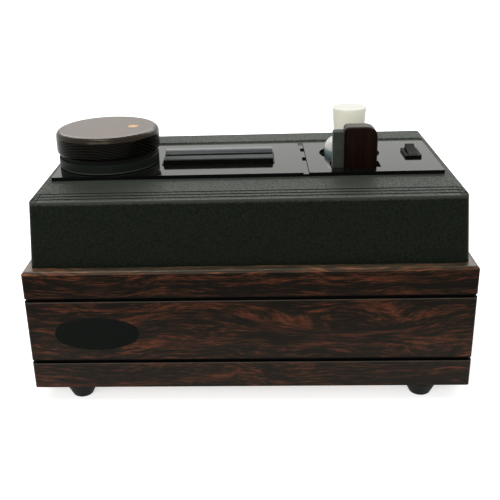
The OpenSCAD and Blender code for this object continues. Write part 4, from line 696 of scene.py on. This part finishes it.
def round_creases(piece, width_mm, steps, wanted):
    """Bevels the creases of a piece whose middle and faces are wanted."""
    mesh = piece.data
    for items in (mesh.vertices, mesh.edges, mesh.polygons):
        items.foreach_set("select", [False] * len(items))
    found = False
    for edge, faces in creases(mesh):
        middle = (mesh.vertices[edge.vertices[0]].co + mesh.vertices[edge.vertices[1]].co) / 2
        if wanted(middle, faces):
            edge.select = found = True
    only(piece)
    bpy.context.tool_settings.mesh_select_mode = (False, True, False)
    bpy.ops.object.mode_set(mode="EDIT")
    if found:
        bpy.ops.mesh.bevel(offset=width_mm * MM, offset_type="OFFSET", segments=steps,
                           affect="EDGES", clamp_overlap=True)
    bpy.ops.object.mode_set(mode="OBJECT")


def stand_for(piece, node_name, smooth=35.0):
    """Finishes a piece: its shading, its normals, its body and the solid it replaces."""
    only(piece)
    bpy.ops.object.shade_smooth_by_angle(angle=math.radians(smooth))
    settle(piece, "WEIGHTED_NORMAL", keep_sharp=True)
    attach(piece, BODY_OF[NODES[node_name].parent])
    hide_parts(node_name)
    return piece


def softened(node_name, name, width_mm, steps=2, wanted=anywhere):
    """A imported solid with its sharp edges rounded, as a new piece in the solid's place."""
    piece = merged_copy(node_name, name)
    round_creases(piece, width_mm, steps, wanted)
    paint(piece, FINISH_OF[node_name])
    return stand_for(piece, node_name)


def finish_faces(piece, material, wanted):
    """Gives the wanted faces of a piece a further material."""
    piece.data.materials.append(material)
    last = len(piece.data.materials) - 1
    for face in piece.data.polygons:
        if wanted(face):
            face.material_index = last


def off_mitre(middle, faces):
    """True for a board's edge that is neither at a mitre nor at a groove."""
    upright = all(abs(face.normal.z) < 0.1 for face in faces)
    return (upright or not at_grooves(middle.z)) and not any(is_mitre(face) for face in faces)


def in_groove(face):
    """True for the walls and floor of a groove, below the cabinet's outer faces."""
    depth_mm = min(OUTER[0] - abs(face.center.x), OUTER[1] - abs(face.center.y)) / MM
    if not at_grooves(face.center.z) or is_mitre(face):
        return False
    if abs(face.normal.z) > 0.5:
        return 0.05 < depth_mm < GROOVE_MM + 0.1
    return abs(depth_mm - GROOVE_MM) < 0.2


for side in ("front", "back", "left", "right"):
    board = softened(side + "_board", "cabinet_" + side, 0.3, 2, off_mitre)
    # Painted light: the rounding and the level top of each board get the lit copies of its wood
    lit_rounding_wood, lit_top_wood = ((wood_long_lit_rounding, wood_long_lit_top) if side in ("front", "back")
                            else (wood_side_lit_rounding, wood_side_lit_top))
    finish_faces(board, lit_rounding_wood,
                 lambda face: face.normal.z > 0.15 and face.center.z > TOP_EDGE)
    finish_faces(board, lit_top_wood,
                 lambda face: face.normal.z > 0.72 and face.center.z > TOP_EDGE)
    finish_faces(board, groove_black, in_groove)


def behind_deck(middle, faces):
    """True for the upper edge of the trough's back wall."""
    return middle.z > COVER_TOP - 0.5 * MM and PLATE_BACK + 2.0 * MM < middle.y < COVER_BACK


cover = softened("top_cover", "cover_shell", 0.8, 3, behind_deck)
# Painted light: the trough's front-facing back wall and its bevel get the paler copy of the
# cover plastic
finish_faces(cover, cover_lit_wall, lambda face: (
    face.normal.y < -0.3 and face.center.z > COVER_TOP - 4.0 * MM
    and PLATE_BACK < face.center.y < COVER_BACK))

for side in ("left", "right"):
    plate = softened(side + "_deck_plate", "deck_" + side, 0.18, 2,
                     lambda middle, faces: middle.z > PLATE_TOP - SLACK)
    finish_faces(plate, deck_edge, lambda face: face.normal.z < 0.4)


def above_deck(middle, faces):
    """True for an edge that stands clear of the deck plates."""
    return middle.z > PLATE_TOP + SLACK


softened("rubber_feet", "feet", 0.5)
softened("drive_ring", "capstan_ring", 0.35)
softened("badge_plate", "badge_oval", 0.5, 3)
softened("nozzle_bar", "suction_nozzle", 0.35, 2, above_deck)
softened("switch_body", "switch_bezel", 0.35, 2, above_deck)
softened("switch_rocker", "rocker", 0.45, 3,
         lambda middle, faces: middle.z > PLATE_TOP + 1.5 * MM)
brush = softened("brush_handle", "brush_wood", 2.2, 5)
# Painted light: the handle's upward faces get the paler copy of its wood
finish_faces(brush, handle_lit_top, lambda face: face.normal.z > 0.6)
stopper = softened("bottle_stopper", "stopper", 0.6, 3)
# Painted shade: the stopper's level top gets the darker copy of its plastic
finish_faces(stopper, stopper_shaded_top, lambda face: face.normal.z > 0.9)
softened("bottle", "bottle_blown", 0.3)

cap = softened("label_cap", "label_clamp_cap", 0.3)
# Painted light: paler wood on the cap's rounding and on its level top
finish_faces(cap, cap_lit_rim_wood, lambda face: face.normal.z > 0.08)
finish_faces(cap, cap_lit_top_wood,
             lambda face: face.normal.z > 0.97 and face.center.z > CAP_TOP - 1.0 * MM)


def piled(node_name, name, cell_mm, lift_mm, seed, round_mm=0.0):
    """A velvet piece: the solid remeshed finely, with its pile standing up unevenly."""
    piece = merged_copy(node_name, name)
    if round_mm:
        round_creases(piece, round_mm, 4, anywhere)
    settle(piece, "REMESH", mode="VOXEL", voxel_size=cell_mm * MM, adaptivity=0.0)
    settle(piece, "SMOOTH", factor=0.5, iterations=2)
    shift = Vector((seed, 0.0, 0.0))
    normals = [vertex.normal.copy() for vertex in piece.data.vertices]
    for vertex, normal in zip(piece.data.vertices, normals):
        fine = noise.noise(vertex.co * 900.0 + shift)
        broad = noise.noise(vertex.co * 160.0 + shift)
        vertex.co += normal * (fine * 0.6 + broad * 0.4) * lift_mm * MM
    paint(piece, FINISH_OF[node_name])
    return stand_for(piece, node_name, 180.0)


rear_lip = piled("rear_velvet_lip", "nozzle_rear_velvet", cell_mm=0.6,
                 lift_mm=0.10, seed=3.0, round_mm=1.8)
# Painted shade: the rear velvet's front strip along the slot gets the black edge finish,
# standing in for the shade on its front-facing curve
finish_faces(rear_lip, deck_edge, lambda face: face.center.y < LIP_FRONT + 1.2 * MM)
piled("front_velvet_lip", "nozzle_front_velvet", cell_mm=0.35, lift_mm=0.05, seed=7.0)
pad = piled("brush_pad", "brush_velvet", cell_mm=0.6, lift_mm=0.10, seed=11.0)


# Light and stage

SKY = 0.55
FLOOR_GLOW = 0.6


def area_light(name, place, target, size, power):
    """A white rectangular lamp at a place, turned towards a target."""
    lamp = bpy.data.lights.new(name, "AREA")
    lamp.shape = "RECTANGLE"
    lamp.size, lamp.size_y = size
    lamp.energy = power
    holder = bpy.data.objects.new(name, lamp)
    bpy.context.scene.collection.objects.link(holder)
    direction = Vector(target) - Vector(place)
    holder.matrix_world = (Matrix.Translation(place)
                           @ direction.to_track_quat("-Z", "Y").to_matrix().to_4x4())


area_light("back_softbox", place=(0.0, 1.7, 1.45), target=(0.0, 0.0, 0.1), size=(3.0, 1.0),
           power=32.0)
area_light("front_fill", place=(-0.6, -2.2, 1.3), target=(0.0, 0.0, 0.1), size=(2.0, 1.4),
           power=28.0)
area_light("top_strip", place=(-0.40, -0.15, 1.8), target=(-0.05, 0.0, 0.1), size=(1.0, 0.5),
           power=8.0)

world = bpy.data.worlds.new("studio")
bpy.context.scene.world = world
world.use_nodes = True
background = world.node_tree.nodes["Background"]


def showing(tree):
    """1 for a ray that shows the background: seen straight on, mirrored or through glass."""
    rays = tree.nodes.new("ShaderNodeLightPath")
    seen, mirrored, through = (Value(tree, rays.outputs["Is " + kind + " Ray"])
                               for kind in ("Camera", "Glossy", "Transmission"))
    return seen.math("MAXIMUM", mirrored).math("MAXIMUM", through)


wire(world.node_tree, background.inputs["Strength"],
     showing(world.node_tree) * (1.0 - SKY) + SKY)
background.inputs["Color"].default_value = (1.0, 1.0, 1.0, 1.0)

bpy.ops.mesh.primitive_plane_add(size=12.0, location=(0.0, 0.0, 0.0))
floor = bpy.context.object
floor.name = "floor"
floor_paint = Finish("floor_paint", Base_Color=(0.80, 0.80, 0.80), Roughness=0.9)
floor_paint.set(Specular_IOR_Level=0.0, Emission_Color=(1.0, 1.0, 1.0))
floor_paint.set(Emission_Strength=showing(floor_paint.tree) * FLOOR_GLOW)
paint(floor, floor_paint.material)

bpy.context.scene.view_settings.view_transform = "Standard"
